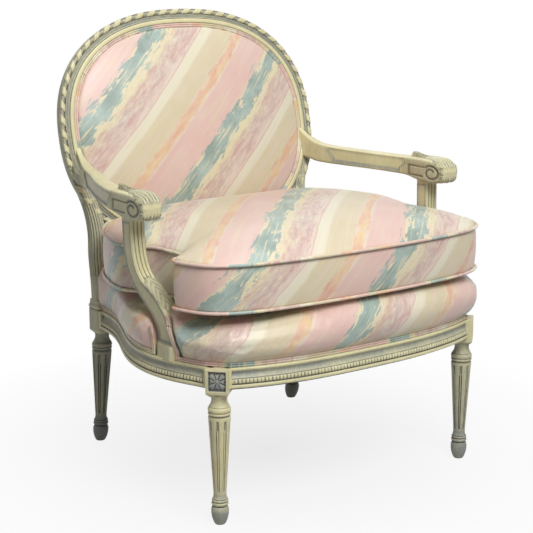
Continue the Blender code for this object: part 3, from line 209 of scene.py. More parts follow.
def antiqued_cream():
    """Old cream paint: brushed, with a painted highlight on convex edges, grey glaze and dark dirt in the
    carving, and painted shade where a leg's dark value carries it.
    """
    paint = Finish("antiqued cream paint")
    place = paint.place()
    cloud = paint.noise(place, 16.0, 4.0, 0.6)
    fleck = paint.noise(place, 210.0, 3.0, 0.65)
    brush = paint.noise(paint.drawn_out(place, (420.0, 420.0, 38.0)), 1.0, 3.0, 0.6)
    glaze = paint.node("ShaderNodeAttribute", {"attribute_name": "glaze"}, out="Fac")
    dark = paint.node("ShaderNodeAttribute", {"attribute_name": "dark"}, out="Fac")
    cavity = paint.node(
        "ShaderNodeAmbientOcclusion", {"samples": 6, "only_local": True}, {"Distance": 0.007}, out="AO"
    )
    ridge = paint.node("ShaderNodeNewGeometry", out="Pointiness")
    hollow = ((1.0 - cavity) * 1.5 - 0.18).clip()
    # painted highlight: convex edges are made paler, as if light caught them
    edge_highlight = ((ridge - 0.53) * 9.0).clip()
    coat = paint.mix((cloud * 2.6 - 0.8).clip(), CREAM, CREAM_WARM)
    coat = paint.mix(edge_highlight * 0.6, coat, CREAM_PALE)
    coat = paint.mix((brush * 2.2 - 0.95).clip() * 0.30, coat, GREY_GLAZE)
    wiped = (glaze * 1.1 + hollow * 0.6 + (fleck - 0.5) * (glaze + 0.15) + (cloud - 0.5) * 0.6).clip()
    tone = paint.mix((cloud * 2.4 - 0.7).clip(), GREY_GLAZE, BLUE_GLAZE)
    coat = paint.mix(wiped * (0.70 + brush * 0.4).clip(), coat, tone)
    # dark lines and dirt in the carving, together with the painted shade that shaded legs carry in their dark
    # value
    groove_dirt_and_painted_shade = (dark * (0.75 + fleck * 0.5) + (hollow - 0.5) * 0.9).clip()
    coat = paint.mix(groove_dirt_and_painted_shade * 0.95, coat, UMBER)
    worn = ((fleck - 0.64) * 9.0).clip() * 0.4
    coat = paint.mix(worn, coat, GREY_GLAZE)
    relief = paint.bump(brush * 0.6 + fleck * 0.4, 0.0003, 0.35)
    rough = 0.40 + wiped * 0.16 + groove_dirt_and_painted_shade * 0.2 + (cloud - 0.5) * 0.16
    return paint.surface(Base_Color=coat, Roughness=rough, Normal=relief)


cream_paint = antiqued_cream()


def ease(low, high, value):
    """0 below low, 1 above high, and a smooth step between."""
    share = np.clip((value - low) / (high - low), 0.0, 1.0)
    return share * share * (3 - 2 * share)


def risen(x, y, height):
    """A grid of points from their plan and the heights of their rows."""
    return np.stack([x, y, np.broadcast_to(height, x.shape)], axis=-1)


def columns_of(rows):
    """The columns of a table, each standing upright."""
    return [np.array(column)[:, None] for column in zip(*rows)]


def skin(index):
    """Faces over a grid of point numbers whose columns run round, capped at both ends."""
    beside = np.roll(index, -1, axis=1)
    faces = np.stack([index[:-1], beside[:-1], beside[1:], index[1:]], axis=-1).reshape(-1, 4).tolist()
    return faces + [index[0][::-1].tolist(), index[-1].tolist()]


def piece_from(name, points, faces, material):
    """A smooth mesh object from points and faces, its normals turned outwards."""
    mesh = bpy.data.meshes.new(name)
    mesh.from_pydata(points, [], faces)
    work = bmesh.new()
    work.from_mesh(mesh)
    bmesh.ops.recalc_face_normals(work, faces=work.faces)
    work.to_mesh(mesh)
    work.free()
    mesh.shade_smooth()
    mesh.materials.append(material)
    piece = bpy.data.objects.new(name, mesh)
    bpy.context.scene.collection.objects.link(piece)
    return piece


def keep_values(piece, name, values):
    """Numbers kept on the points of a mesh for its finish to read."""
    held = piece.data.attributes.new(name, "FLOAT", "POINT")
    held.data.foreach_set("value", np.asarray(values, dtype=np.float32).ravel())


def carved(name, shells):
    """One painted piece from closed shells, each a grid of points with its glaze and dark lines."""
    points, faces = [], []
    glazes, darks = [], []
    start = 0
    for grid, glaze, dark in shells:
        rows, columns = grid.shape[:2]
        index = start + np.arange(rows * columns).reshape(rows, columns)
        faces += skin(index)
        points += grid.reshape(-1, 3).tolist()
        glazes.append(np.broadcast_to(glaze, (rows, columns)).ravel())
        darks.append(np.broadcast_to(dark, (rows, columns)).ravel())
        start += rows * columns
    piece = piece_from(name, points, faces, cream_paint)
    piece.data.set_sharp_from_angle(angle=math.radians(55))
    keep_values(piece, "glaze", np.concatenate(glazes))
    keep_values(piece, "dark", np.concatenate(darks))
    return piece


def fits_frame(piece, slot, *nodes):
    """The piece stands for its CAD nodes on the fixed frame, which are hidden; its slot is not used."""
    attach(piece, "frame")
    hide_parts(*nodes)
    return piece


def flutes(height, turn):
    """Depth and darkness of the stop-fluted channels at heights and angles round the shaft."""
    across = (turn * FLUTES / (2 * math.pi) + 0.5) % 1 - 0.5
    end = np.clip(np.minimum(height - FLUTE_BOTTOM, FLUTE_TOP - height) / FLUTE_ROUND, 0.0, 1.0)
    half = FLUTE_SHARE / 2 * np.sqrt(1 - (1 - end) ** 2)
    out = np.abs(across) / np.maximum(half, 1e-6)
    channel = FLUTE_DEPTH * np.sqrt(np.clip(1 - out**2, 0, 1))
    quirk = np.clip(1 - ((out - 0.86) / 0.16) ** 2, 0, 1)
    reed = np.where(out < 0.72, 0.0003 + 0.0010 * (out / 0.72) ** 2, 0.0013) + 0.0010 * quirk
    reed = np.where(out < 1, reed, 0.0)
    opened = ease(REED_TOP - 0.0030, REED_TOP + 0.0030, height)
    depth = channel * opened + reed * (1 - opened)
    faint = 0.26 + 0.26 * ease(0.08, 0.17, height)
    dark = np.where(out < 1, opened * (1.0 - 0.35 * out) + (1 - opened) * quirk * faint, 0.0)
    return depth * (end > 0), dark * (end > 0)


# painted shade on the legs, from 0 for none, by the leg's side: the front right leg and the rear legs stand
# in shade
FRONT_LEG_PAINTED_SHADE = {-1: 0.0, 1: 0.58}
REAR_LEG_PAINTED_SHADE = 0.82


def turned_leg(foot, head, leg_painted_shade):
    """The turning from the floor to the block, leant from its foot to its head."""
    heights, radii, glazes, darks = [], [], [], []
    for low, high, lower, upper, swell, steps, glaze, dark in LEG_MOULDINGS:
        share = np.linspace(0, 1, steps + 1)
        heights.append(low + (high - low) * (0.02 + 0.96 * share))
        radii.append(lower + (upper - lower) * share + swell * np.sin(math.pi * share) ** 0.75)
        glazes.append(np.full(steps + 1, glaze))
        darks.append(np.full(steps + 1, dark))
    height = np.concatenate(heights)[:, None]
    height[0] = 0.0
    radius = np.concatenate(radii)[:, None]
    turn = np.linspace(0, 2 * math.pi, LEG_COLUMNS, endpoint=False)[None, :]
    depth, channel_dark = flutes(height, turn)
    # painted shade: on a leg that stands in shade, the flutes are darkened along their whole length
    channel_dark = np.maximum(channel_dark, leg_painted_shade * (depth > 0.0003))
    radius = radius - depth
    share = height / BLOCK_BOTTOM
    x = foot[0] + (head[0] - foot[0]) * share + radius * np.cos(turn)
    y = foot[1] + (head[1] - foot[1]) * share + radius * np.sin(turn)
    grid = risen(x, y, height)
    # painted shade: a leg that stands in shade is glazed greyer all over; every leg is also greyer towards
    # its foot
    worn = 0.5 * leg_painted_shade + 0.30 * (1 - ease(0.004, 0.05, height)) + 0.22 * (1 - ease(0.050, 0.100, height))
    glaze = np.concatenate(glazes)[:, None] + worn + 0.25 * (channel_dark > 0.1)
    # painted shade: a leg's dark value is raised by its share of shade
    groove_dirt_and_painted_shade = np.maximum(np.concatenate(darks)[:, None], 0.95 * leg_painted_shade)
    return grid, glaze, np.maximum(groove_dirt_and_painted_shade, channel_dark)


def rosette(across, up):
    """Relief, glaze and darkness of the sunk panel on a block: eight leaves round a button."""
    edge = np.maximum(np.abs(across) / PANEL_WIDE, np.abs(up) / PANEL_HIGH)
    sunk = 1 - ease(0.93, 1.0, edge)
    reach = np.hypot(across, up)
    turn = np.arctan2(up, across)
    leaf = ((turn + math.pi / 8) % (math.pi / 4) - math.pi / 8) / (math.pi / 8)
    length = 0.0136 + 0.0052 * np.sin(2 * turn) ** 2
    along = np.clip(reach / length, 0, 1)
    blade = (1 - np.abs(leaf) ** 2.4) * np.sin(math.pi * along) ** 0.55
    vein = np.exp(-((leaf / 0.16) ** 2)) * ease(0.15, 0.4, along)
    button = np.sqrt(np.clip(1 - (reach / BUTTON_RADIUS) ** 2, 0, 1))
    relief = np.maximum(0.0034 * blade - 0.0009 * vein * (blade > 0.1), 0.0036 * button)
    bead = np.exp(-(((edge - 1.09) / 0.05) ** 2))
    height = sunk * (relief - PANEL_DEPTH) + 0.0005 * bead
    valley = np.clip(1.25 - 2.0 * np.maximum(blade, button), 0, 1)
    dark = sunk * np.clip(valley + 0.5 * vein * (reach > BUTTON_RADIUS), 0, 1)
    glaze = 0.10 + 0.85 * sunk + 0.35 * ease(0.9, 1.0, edge) * (1 - ease(1.0, 1.05, edge))
    return height, glaze, dark


def leg_block(side):
    """The square head of a front leg, turned to the diagonal, with its rosette on the outer face."""
    face = np.linspace(-1, 1, 60)
    rest = np.linspace(-1, 1, 10)[1:-1]
    out = np.concatenate([np.ones(60), -rest, -np.ones(2), -np.ones(8), rest])
    along = np.concatenate([face, np.ones(8), [1, -1], -rest, -np.ones(8)])
    order = np.argsort(np.arctan2(along, out), kind="stable")
    out, along = out[order], along[order]
    chamfer = [(0.2447, 0.0148), (0.2462, 0.0158), (0.2482, 0.0180), (0.2502, 0.0203), (0.2512, BLOCK_HALF)]
    upright = [(z, BLOCK_HALF) for z in np.linspace(FACE_BOTTOM, SHOW_TOP - 0.0006, 62)]
    height, half = columns_of([*chamfer, *upright, (SHOW_TOP, 0.0206)])
    middle = (FACE_BOTTOM + SHOW_TOP) / 2
    relief, glaze, dark = rosette(along[None, :] * BLOCK_HALF, height - middle)
    show = (out > 0.999)[None, :] & (height > 0.2515) & (height < SHOW_TOP - 0.0003)
    outwards = out[None, :] * half + np.where(show, relief, 0.0)
    sideways = along[None, :] * half
    x = side * (LEG_X + (outwards + sideways) / math.sqrt(2))
    y = LEG_Y + (sideways - outwards) / math.sqrt(2)
    grid = risen(x, y, height)
    under = 0.35 * (1 - ease(0.246, 0.2515, height))
    return grid, np.where(show, glaze, 0.08) + under, np.where(show, dark, 0.0)


def square_bar(centre, half, setback, low, high, turn):
    """A plain bar of square plan, with one face set back."""
    corners = np.array([(1, -1), (1, 1), (-1, 1), (-1, -1)]) * half
    corners[:2, 0] -= setback
    cosine, sine = math.cos(turn), math.sin(turn)
    x = centre[0] + corners[:, 0] * cosine - corners[:, 1] * sine
    y = centre[1] + corners[:, 0] * sine + corners[:, 1] * cosine
    grid = np.stack([np.stack([x, y, np.full(4, z)], axis=-1) for z in (low, high)])
    return grid, 0.1, 0.0


UPPER_SETBACK = 0.0190
HANDS = ((-1, "left"), (1, "right"))
for side, hand in HANDS:
    axis = (side * LEG_X, LEG_Y)
    outwards = math.atan2(-1, side)
    shells = [turned_leg(axis, axis, FRONT_LEG_PAINTED_SHADE[side]), leg_block(side)]
    shells.append(square_bar(axis, BLOCK_HALF, UPPER_SETBACK, SHOW_TOP - 0.004, RAIL_TOP, outwards))
    fits_frame(carved(f"leg_front_{hand}", shells), "painted_wood", f"front_leg_{hand}")

# Seat rails
# Four beech rails tenoned into the legs: bowed in front, swelling at the sides and straight behind.
# Their face has a cream fillet, a grey cove, small beads and a lower fillet. A tongue above takes the tacks.

FRONT_ARC_HALF = 0.287
FRONT_BOW = 0.043
BOW_POWER = 2.8
LEG_PROUD = 0.005
LEG_CORNER = BLOCK_HALF * math.sqrt(2)
FRONT_END_Y = LEG_Y - LEG_CORNER + LEG_PROUD
SIDE_START = np.array([LEG_X + LEG_CORNER - LEG_PROUD, LEG_Y + LEG_X - FRONT_ARC_HALF])
SIDE_START_WAY = np.array([0.33, 0.94])
SEAT_WIDEST = np.array([0.359, -0.120])
POST_X, POST_Y = 0.2585, 0.222
POST_BLOCK_HALF = 0.0205
RAIL_SETBACK = 0.0015
SIDE_END = np.array([POST_X + POST_BLOCK_HALF - RAIL_SETBACK, POST_Y - POST_BLOCK_HALF])
BACK_EDGE_Y = POST_Y + POST_BLOCK_HALF - RAIL_SETBACK
RAIL_BOTTOM = 0.260
RAIL_THICK = 0.034
SHOW_SETBACK = 0.0065
TONGUE_INSET = 0.014
BEAD_PITCH = 0.0072
BEAD_RISE = 0.0024
RAIL_STEP = 0.0011

# height, inset, glaze, dark line, share of the beading
RAIL_FACE = (
    (0.2600, 0.0016, 0.30, 0.1, 0.0),
    (0.2606, 0.0006, 0.08, 0.0, 0.0),
    (0.2625, 0.0000, 0.02, 0.0, 0.0),
    (0.2652, 0.0001, 0.02, 0.0, 0.0),
    (0.2664, 0.0008, 0.20, 0.0, 0.0),
    (0.2669, 0.0030, 0.60, 1.0, 0.0),
    (0.2678, 0.0032, 0.60, 1.0, 0.0),
    (0.2683, 0.0030, 0.35, 0.2, 0.20),
    (0.2695, 0.0028, 0.15, 0.0, 0.70),
    (0.2714, 0.0027, 0.05, 0.0, 1.0),
    (0.2734, 0.0027, 0.05, 0.0, 1.0),
    (0.2753, 0.0028, 0.15, 0.0, 0.70),
    (0.2765, 0.0030, 0.35, 0.2, 0.20),
    (0.2770, 0.0036, 0.60, 0.8, 0.0),
    (0.2779, 0.0036, 0.60, 0.8, 0.0),
    (0.2784, 0.0034, 0.45, 0.1, 0.0),
    (0.2800, 0.0050, 0.60, 0.10, 0.0),
    (0.2822, 0.0066, 0.70, 0.20, 0.0),
    (0.2848, 0.0075, 0.80, 0.25, 0.0),
    (0.2874, 0.0074, 0.80, 0.25, 0.0),
    (0.2894, 0.0062, 0.65, 0.15, 0.0),
    (0.2906, 0.0050, 0.45, 0.05, 0.0),
    (0.2912, 0.0051, 0.50, 0.8, 0.0),
    (0.2918, 0.0043, 0.12, 0.0, 0.0),
    (0.2928, 0.0037, 0.02, 0.0, 0.0),
    (0.2945, 0.0034, 0.02, 0.0, 0.0),
    (0.2960, 0.0037, 0.02, 0.0, 0.0),
    (0.2970, 0.0046, 0.08, 0.0, 0.0),
    (SHOW_TOP, SHOW_SETBACK, 0.25, 0.1, 0.0),
    (SHOW_TOP, TONGUE_INSET, 0.40, 0.4, 0.0),
    (RAIL_TOP, TONGUE_INSET, 0.30, 0.0, 0.0),
    (RAIL_TOP, RAIL_THICK, 0.30, 0.0, 0.0),
    (RAIL_BOTTOM, RAIL_THICK, 0.30, 0.0, 0.0),
)


def through(points, steps):
    """A smooth curve through every given point, with so many steps between neighbours."""
    points = np.asarray(points, dtype=float)
    padded = np.vstack([2 * points[0] - points[1], points, 2 * points[-1] - points[-2]])
    t = np.linspace(0, 1, steps, endpoint=False)[:, None]
    rows = []
    for before, start, end, after in zip(padded, padded[1:], padded[2:], padded[3:]):
        bend = 2 * before - 5 * start + 4 * end - after
        turn = -before + 3 * start - 3 * end + after
        rows.append(start + 0.5 * t * (end - before + t * (bend + t * turn)))
    return np.vstack([*rows, points[-1:]])


def lengths_along(path):
    """The length of a path up to each of its points."""
    return np.concatenate([[0.0], np.cumsum(np.linalg.norm(np.diff(path, axis=0), axis=1))])


def at_lengths(path, lengths, marks):
    """The points of a path at given lengths along it."""
    return np.stack([np.interp(marks, lengths, path[:, k]) for k in range(path.shape[1])], axis=1)


def stepped(path, pitch):
    """The path stepped off at even lengths, with the length at each step."""
    lengths = lengths_along(path)
    marks = np.linspace(0, lengths[-1], max(3, round(lengths[-1] / pitch) + 1))
    return at_lengths(path, lengths, marks), marks


def bezier(start, start_handle, end_handle, end, steps):
    """A curve from start to end, led by two handles."""
    t = np.linspace(0, 1, steps + 1)[:, None]
    rest = 1 - t
    first = rest**3 * start + 3 * t * rest**2 * start_handle
    return first + 3 * t * t * rest * end_handle + t**3 * end


def front_edge(reach, steps=120):
    """The bowed front edge of the seat, from left to right."""
    x = np.linspace(-reach, reach, 2 * steps + 1)
    return np.stack([x, FRONT_END_Y - FRONT_BOW * (1 - np.abs(x / FRONT_ARC_HALF) ** BOW_POWER)], axis=1)


def side_edge(steps=80):
    """The right-hand edge of the seat, from the front leg to the back post."""
    lead = np.array([0, 0.4 * (SEAT_WIDEST[1] - SIDE_START[1])])
    run = np.array([0, 0.4 * (SIDE_END[1] - SEAT_WIDEST[1])])
    front = bezier(SIDE_START, SIDE_START + SIDE_START_WAY * lead[1], SEAT_WIDEST - lead, SEAT_WIDEST, steps)
    back = bezier(SEAT_WIDEST, SEAT_WIDEST + run, SIDE_END - run, SIDE_END, steps)
    return np.vstack([front, back[1:]])


def inwards(path):
    """Unit steps square to a plan path, to its left."""
    way = np.gradient(path, axis=0)
    way /= np.linalg.norm(way, axis=1)[:, None]
    return np.stack([-way[:, 1], way[:, 0]], axis=1)


def moulded_rail(path, bare_start, bare_end):
    """A rail along a plan path that has the seat on its left, its mouldings stopped short of each leg."""
    path, length = stepped(path, RAIL_STEP)
    height, inset, glaze, dark, beading = [np.array(column)[None, :] for column in zip(*RAIL_FACE)]
    cell = (length[:, None] / BEAD_PITCH) % 1
    bead = np.clip(1 - (2.5 * (cell - 0.5)) ** 2, 0, 1) ** 0.5
    depth = inset - BEAD_RISE * beading * bead
    gap = np.clip(1 - 2.0 * bead, 0, 1) * (beading > 0.1)
    dark = np.maximum(dark, 0.75 * gap)
    glaze = np.maximum(glaze, 0.7 * gap)
    start_stop = 1 - ease(bare_start, bare_start + 0.0012, length)
    end_stop = ease(length[-1] - bare_end - 0.0012, length[-1] - bare_end, length)
    stop = np.maximum(start_stop, end_stop)[:, None]
    show = (height < SHOW_TOP - 0.0005) & (inset < 0.02) & (height > RAIL_BOTTOM + 0.0008)
    depth = np.where(show, depth * (1 - stop) + 0.0008 * stop, depth)
    dark = np.where(show, dark * (1 - stop), dark)
    glaze = np.where(show, glaze * (1 - stop), glaze)
    inward = inwards(path)
    x = path[:, :1] + inward[:, :1] * depth
    y = path[:, 1:] + inward[:, 1:] * depth
    return risen(x, y, height), glaze, dark


def flipped(path):
    """A plan path mirrored to the chair's other hand, run the other way round."""
    return path[::-1] * np.array([-1, 1])


FRONT_REACH = 0.2935
front_rail = moulded_rail(front_edge(FRONT_REACH), 0.0095, 0.0095)
fits_frame(carved("front_seat_rail", [front_rail]), "painted_wood", "seat_rail_front")

side_path = side_edge()
into_leg = side_path[:1] - SIDE_START_WAY / np.linalg.norm(SIDE_START_WAY) * 0.010
into_post = side_path[-1:] + np.array([[0, 0.006]])
side_path = np.vstack([into_leg, side_path, into_post])
for path, hand in ((flipped(side_path), "left"), (side_path, "right")):
    at_leg, at_post = 0.015, 0.012
    ends = (at_leg, at_post) if hand == "right" else (at_post, at_leg)
    rail = moulded_rail(path, *ends)
    fits_frame(carved(f"side_seat_rail_{hand}", [rail]), "painted_wood", f"seat_rail_{hand}")

back_reach = POST_X - POST_BLOCK_HALF + 0.006
back_path = np.stack([np.linspace(back_reach, -back_reach, 60), np.full(60, BACK_EDGE_Y)], axis=1)
back_rail = moulded_rail(back_path, 0.0105, 0.0105)
fits_frame(carved("back_seat_rail", [back_rail]), "painted_wood", "seat_rail_back")

# Oval back frame and back posts
# A post is sawn from one plank: raked turned leg, square block, reeded stile and one side of the oval.
# The crest and the base of the oval are dowelled between the posts. All round run a bright band, a grey cove
# and a twisted ribbon.

RAKE = math.radians(12.67)
FRAME_UP = np.array([0, math.sin(RAKE), math.cos(RAKE)])
FRAME_FRONT = np.array([0, -math.cos(RAKE), math.sin(RAKE)])
FRAME_CENTRE = np.array([0, 0.2640, 0.6515])
SEAM_WIDE, SEAM_HIGH = 0.2740, 0.2119
OVAL_POWER = 2.39
FRAME_FACE = 0.040
FRAME_DEPTH = 0.038
RIBBON_MIDDLE, RIBBON_HALF = 0.0339, 0.0055
RIBBON_PITCH = 0.0290
OVAL_STEP = 0.0012
CREST_JOINT = math.radians(38)
BASE_JOINT = math.radians(-52)
STILE_TOP = math.radians(-17)

# distance out from the seam, height over the frame's plane, glaze, dark line
FRAME_MOULDINGS = (
    (-0.0100, -0.0340, 0.3, 0.0),
    (-0.0100, -0.0080, 0.3, 0.0),
    (0.0070, -0.0080, 0.6, 0.8),
    (0.0088, -0.0060, 0.6, 0.9),
    (0.0092, -0.0010, 0.3, 0.5),
    (0.0097, 0.0002, 0.05, 0.0),
    (0.0110, 0.0007, 0.00, 0.0),
    (0.0130, 0.0010, 0.00, 0.0),
    (0.0150, 0.0010, 0.00, 0.0),
    (0.0168, 0.0006, 0.00, 0.0),
    (0.0180, -0.0002, 0.05, 0.0),
    (0.0184, -0.0022, 0.60, 1.0),
    (0.0191, -0.0026, 0.60, 0.9),
    (0.0196, -0.0020, 0.45, 0.1),
    (0.0206, -0.0026, 0.60, 0.0),
    (0.0218, -0.0037, 0.75, 0.1),
    (0.0226, -0.0045, 0.80, 0.7),
    (0.0231, -0.0040, 0.55, 0.0),
    (0.0240, -0.0044, 0.75, 0.1),
    (0.0246, -0.0051, 0.80, 0.7),
    (0.0251, -0.0046, 0.55, 0.0),
    (0.0262, -0.0048, 0.80, 0.1),
    (0.0272, -0.0044, 0.75, 0.1),
    (0.0278, -0.0040, 0.40, 0.1),
    (0.0281, -0.0055, 0.60, 1.0),
)
RIBBON_COLUMNS = 17
FRAME_EDGE = (
    (0.0397, -0.0060, 0.45, 0.4),
    (0.0400, -0.0075, 0.55, 0.1),
    (0.0396, -0.0098, 0.60, 0.8),
    (0.0397, -0.0113, 0.55, 0.1),
    (0.0388, -0.0175, 0.62, 0.0),
    (0.0366, -0.0250, 0.60, 0.0),
    (0.0330, -0.0320, 0.45, 0.0),
    (0.0290, -0.0364, 0.25, 0.0),
    (0.0250, -0.0380, 0.12, 0.0),
    (0.0120, -0.0380, 0.05, 0.0),
    (0.0084, -0.0380, 0.20, 0.2),
    (0.0084, -0.0340, 0.30, 0.6),
)


def signed_power(value, power):
    """The size of a value raised to a power, with the sign of the value."""
    return np.sign(value) * np.abs(value) ** power


def oval(angle, out, forward):
    """Points of the oval by angle, distance out from the seam and height over its plane."""
    cosine, sine = np.cos(angle), np.sin(angle)
    power = 2 / OVAL_POWER
    x = signed_power(cosine, power) * SEAM_WIDE
    up = signed_power(sine, power) * SEAM_HIGH
    normal_x = signed_power(cosine, 2 - power) / SEAM_WIDE
    normal_up = signed_power(sine, 2 - power) / SEAM_HIGH
    size = np.hypot(normal_x, normal_up)
    x = x + out * normal_x / size
    up = up + out * normal_up / size
    across = np.stack([x, np.zeros_like(x), np.zeros_like(x)], axis=-1)
    return FRAME_CENTRE + across + up[..., None] * FRAME_UP + (forward + 0 * x)[..., None] * FRAME_FRONT


FULL_TURN = np.linspace(-math.pi / 2, 3 * math.pi / 2, 6001)
RIM = oval(FULL_TURN, RIBBON_MIDDLE, 0.0)
RIM_LENGTH = lengths_along(RIM)


def ribbon(length, across):
    """Height, glaze and darkness of a ribbon twisted round a stick, by length and place across the bead."""
    cell = (length / RIBBON_PITCH + 0.16 * across) % 1
    turn = ease(0.0, 0.07, cell) * (1 - ease(0.56, 0.64, cell))
    belly = np.sqrt(np.clip(1 - across**2, 0, 1))
    stick = np.sqrt(np.clip(1 - (1.7 * across) ** 2, 0, 1))
    fold = 0.0004 * np.exp(-((((cell - 0.4) / 0.30) - 0.5 * across) ** 2) * 6)
    height = -0.0052 + turn * (0.0012 + 0.0036 * belly + fold) + (1 - turn) * 0.0018 * stick
    loop = np.abs(np.sin(2 * math.pi * (cell - 0.60) / 0.40)) * (cell > 0.6)
    dark = (1 - turn) * (1.0 - 0.75 * stick * loop) + 0.6 * turn * ease(0.80, 1.0, np.abs(across))
    glaze = 0.06 + 0.50 * (1 - turn) + 0.35 * turn * ease(0.65, 1.0, np.abs(across))
    return height, glaze, dark


def frame_run(start, end):
    """A stretch of the oval frame between two angles, with its mouldings and ribbon."""
    low, high = np.interp([start, end], FULL_TURN, RIM_LENGTH)
    length = np.linspace(low, high, round((high - low) / OVAL_STEP) + 1)[:, None]
    angle = np.interp(length, RIM_LENGTH, FULL_TURN)
    rows = len(length)
    across = np.linspace(-1, 1, RIBBON_COLUMNS)[None, :]
    ribbon_height, ribbon_glaze, ribbon_dark = ribbon(length, across)
    columns = []
    for run in (FRAME_MOULDINGS, FRAME_EDGE):
        columns.append([np.tile(np.array(values)[None, :], (rows, 1)) for values in zip(*run)])
    ribbon_out = np.tile(RIBBON_MIDDLE + RIBBON_HALF * across, (rows, 1))
    middle = [ribbon_out, ribbon_height, ribbon_glaze, ribbon_dark]
    out, forward, glaze, dark = [np.hstack(parts) for parts in zip(columns[0], middle, columns[1])]
    return oval(np.tile(angle, (1, out.shape[1])), out, forward), glaze, dark


STILE_DEPTH = 0.034
STILE_WIDTHS = ((0, 0.0365), (0.16, 0.0365), (0.42, 0.0385), (0.66, 0.0330), (0.85, 0.0300), (1, 0.0260))
REEDS = 18
REED_RISE = 0.0023
REEDS_LOW, REEDS_HIGH = 0.3640, 0.515
FOOT_X, FOOT_Y = 0.2527, 0.2525

# out from the post, back from the post, height
STILE_MARKS = (
    (0.000, 0.000, 0.300),
    (0.000, 0.002, 0.345),
    (0.001, 0.006, 0.400),
    (-0.001, 0.014, 0.455),
    (0.005, 0.026, 0.505),
)

# height, half width, glaze, dark line
POST_CHAMFER = (
    (0.2447, 0.0148, 0.4, 0.0),
    (0.2475, 0.0172, 0.4, 0.0),
    (0.2502, 0.0200, 0.3, 0.0),
    (0.2512, 0.0205, 0.2, 0.0),
)
POST_LEDGE = (
    (0.2972, 0.0196, 0.6, 0.9),
    (0.2986, 0.0196, 0.6, 0.9),
    (0.2992, 0.0207, 0.2, 0.0),
    (0.3020, 0.0212, 0.1, 0.0),
    (0.3046, 0.0207, 0.2, 0.0),
    (0.3062, 0.0192, 0.5, 0.4),
    (0.3100, 0.0188, 0.4, 0.0),
    (0.3160, 0.0186, 0.3, 0.0),
)


def soft_square(count, power):
    """A rounded square of half size 1, stepped off at even lengths, with the share of the way round."""
    turn = np.linspace(0, 2 * math.pi, 2001)
    outline = np.stack([signed_power(np.cos(turn), power), signed_power(np.sin(turn), power)], axis=1)
    lengths = lengths_along(outline)
    share = np.arange(count) / count
    return at_lengths(outline, lengths, share * lengths[-1]), share


def stile(side):
    """The reeded stile between the block and the oval, swelling in its middle."""
    marks = [(POST_X + out, POST_Y + back, z) for out, back, z in STILE_MARKS]
    marks += [tuple(oval(np.array(STILE_TOP), 0.5 * FRAME_FACE, -FRAME_DEPTH / 2))]
    path, length = stepped(through(marks, 24), 0.0020)
    share = length / length[-1]
    half_x = np.interp(share, *zip(*STILE_WIDTHS))[:, None] / 2
    half_y = STILE_DEPTH / 2
    section, around = soft_square(REEDS * 8, 0.62)
    height = path[:, 2:]
    zone = ease(REEDS_LOW, REEDS_LOW + 0.004, height) * (1 - ease(REEDS_HIGH, REEDS_HIGH + 0.004, height))
    above = ease(REEDS_HIGH + 0.006, REEDS_HIGH + 0.012, height)
    swell = np.abs(np.sin(math.pi * around * REEDS))[None, :]
    cut = zone * REED_RISE * (1 - swell) + above * 0.0010 * (swell < 0.35)
    slim = 1 - cut / half_x
    x = path[:, :1] + half_x * section[:, 0] * slim
    y = path[:, 1:2] + half_y * section[:, 1] * slim
    grid = risen(side * x, y, height)
    dark = zone * ease(0.38, 0.08, swell) + above * 0.8 * (swell < 0.3)
    lines = np.exp(-(((height - 0.3612) / 0.0014) ** 2))
    lines = lines + np.exp(-(((height - REEDS_HIGH - 0.005) / 0.0012) ** 2))
    dark = np.clip(dark + lines, 0, 1)
    glaze = 0.36 + 0.35 * zone * (1 - swell) + 0.2 * above
    return grid, glaze, dark


def post_block(side):
    """The square block that takes the seat rails, with a chamfer below and a small ledge above."""
    section, _ = soft_square(48, 0.22)
    face = [(z, POST_BLOCK_HALF, 0.42, 0.0) for z in np.linspace(0.253, 0.2965, 8)]
    height, half, glaze, dark = columns_of([*POST_CHAMFER, *face, *POST_LEDGE])
    x = side * (POST_X + half * section[:, 0])
    y = POST_Y + half * section[:, 1]
    return risen(x, y, height), glaze, dark


for side, hand in HANDS:
    start, end = (BASE_JOINT, CREST_JOINT) if side > 0 else (math.pi - CREST_JOINT, math.pi - BASE_JOINT)
    shells = [turned_leg((side * FOOT_X, FOOT_Y), (side * POST_X, POST_Y), REAR_LEG_PAINTED_SHADE)]
    shells += [post_block(side), stile(side), frame_run(start, end)]
    fits_frame(carved(f"post_{hand}", shells), "painted_wood", f"back_post_{hand}")

crest = frame_run(CREST_JOINT, math.pi - CREST_JOINT)
fits_frame(carved("oval_crest", [crest]), "painted_wood", "crest_rail")
low_runs = [frame_run(math.pi - BASE_JOINT, 3 * math.pi / 2), frame_run(-math.pi / 2, BASE_JOINT)]
fits_frame(carved("oval_base", low_runs), "painted_wood", "back_base_rail")

# Arms
# Each arm is one piece of beech that leaves the oval's bright band, runs forward and ends in a scroll. Its
# sides have a sunk field, a cut frame and a scroll, and an acanthus leaf lies over the nose.

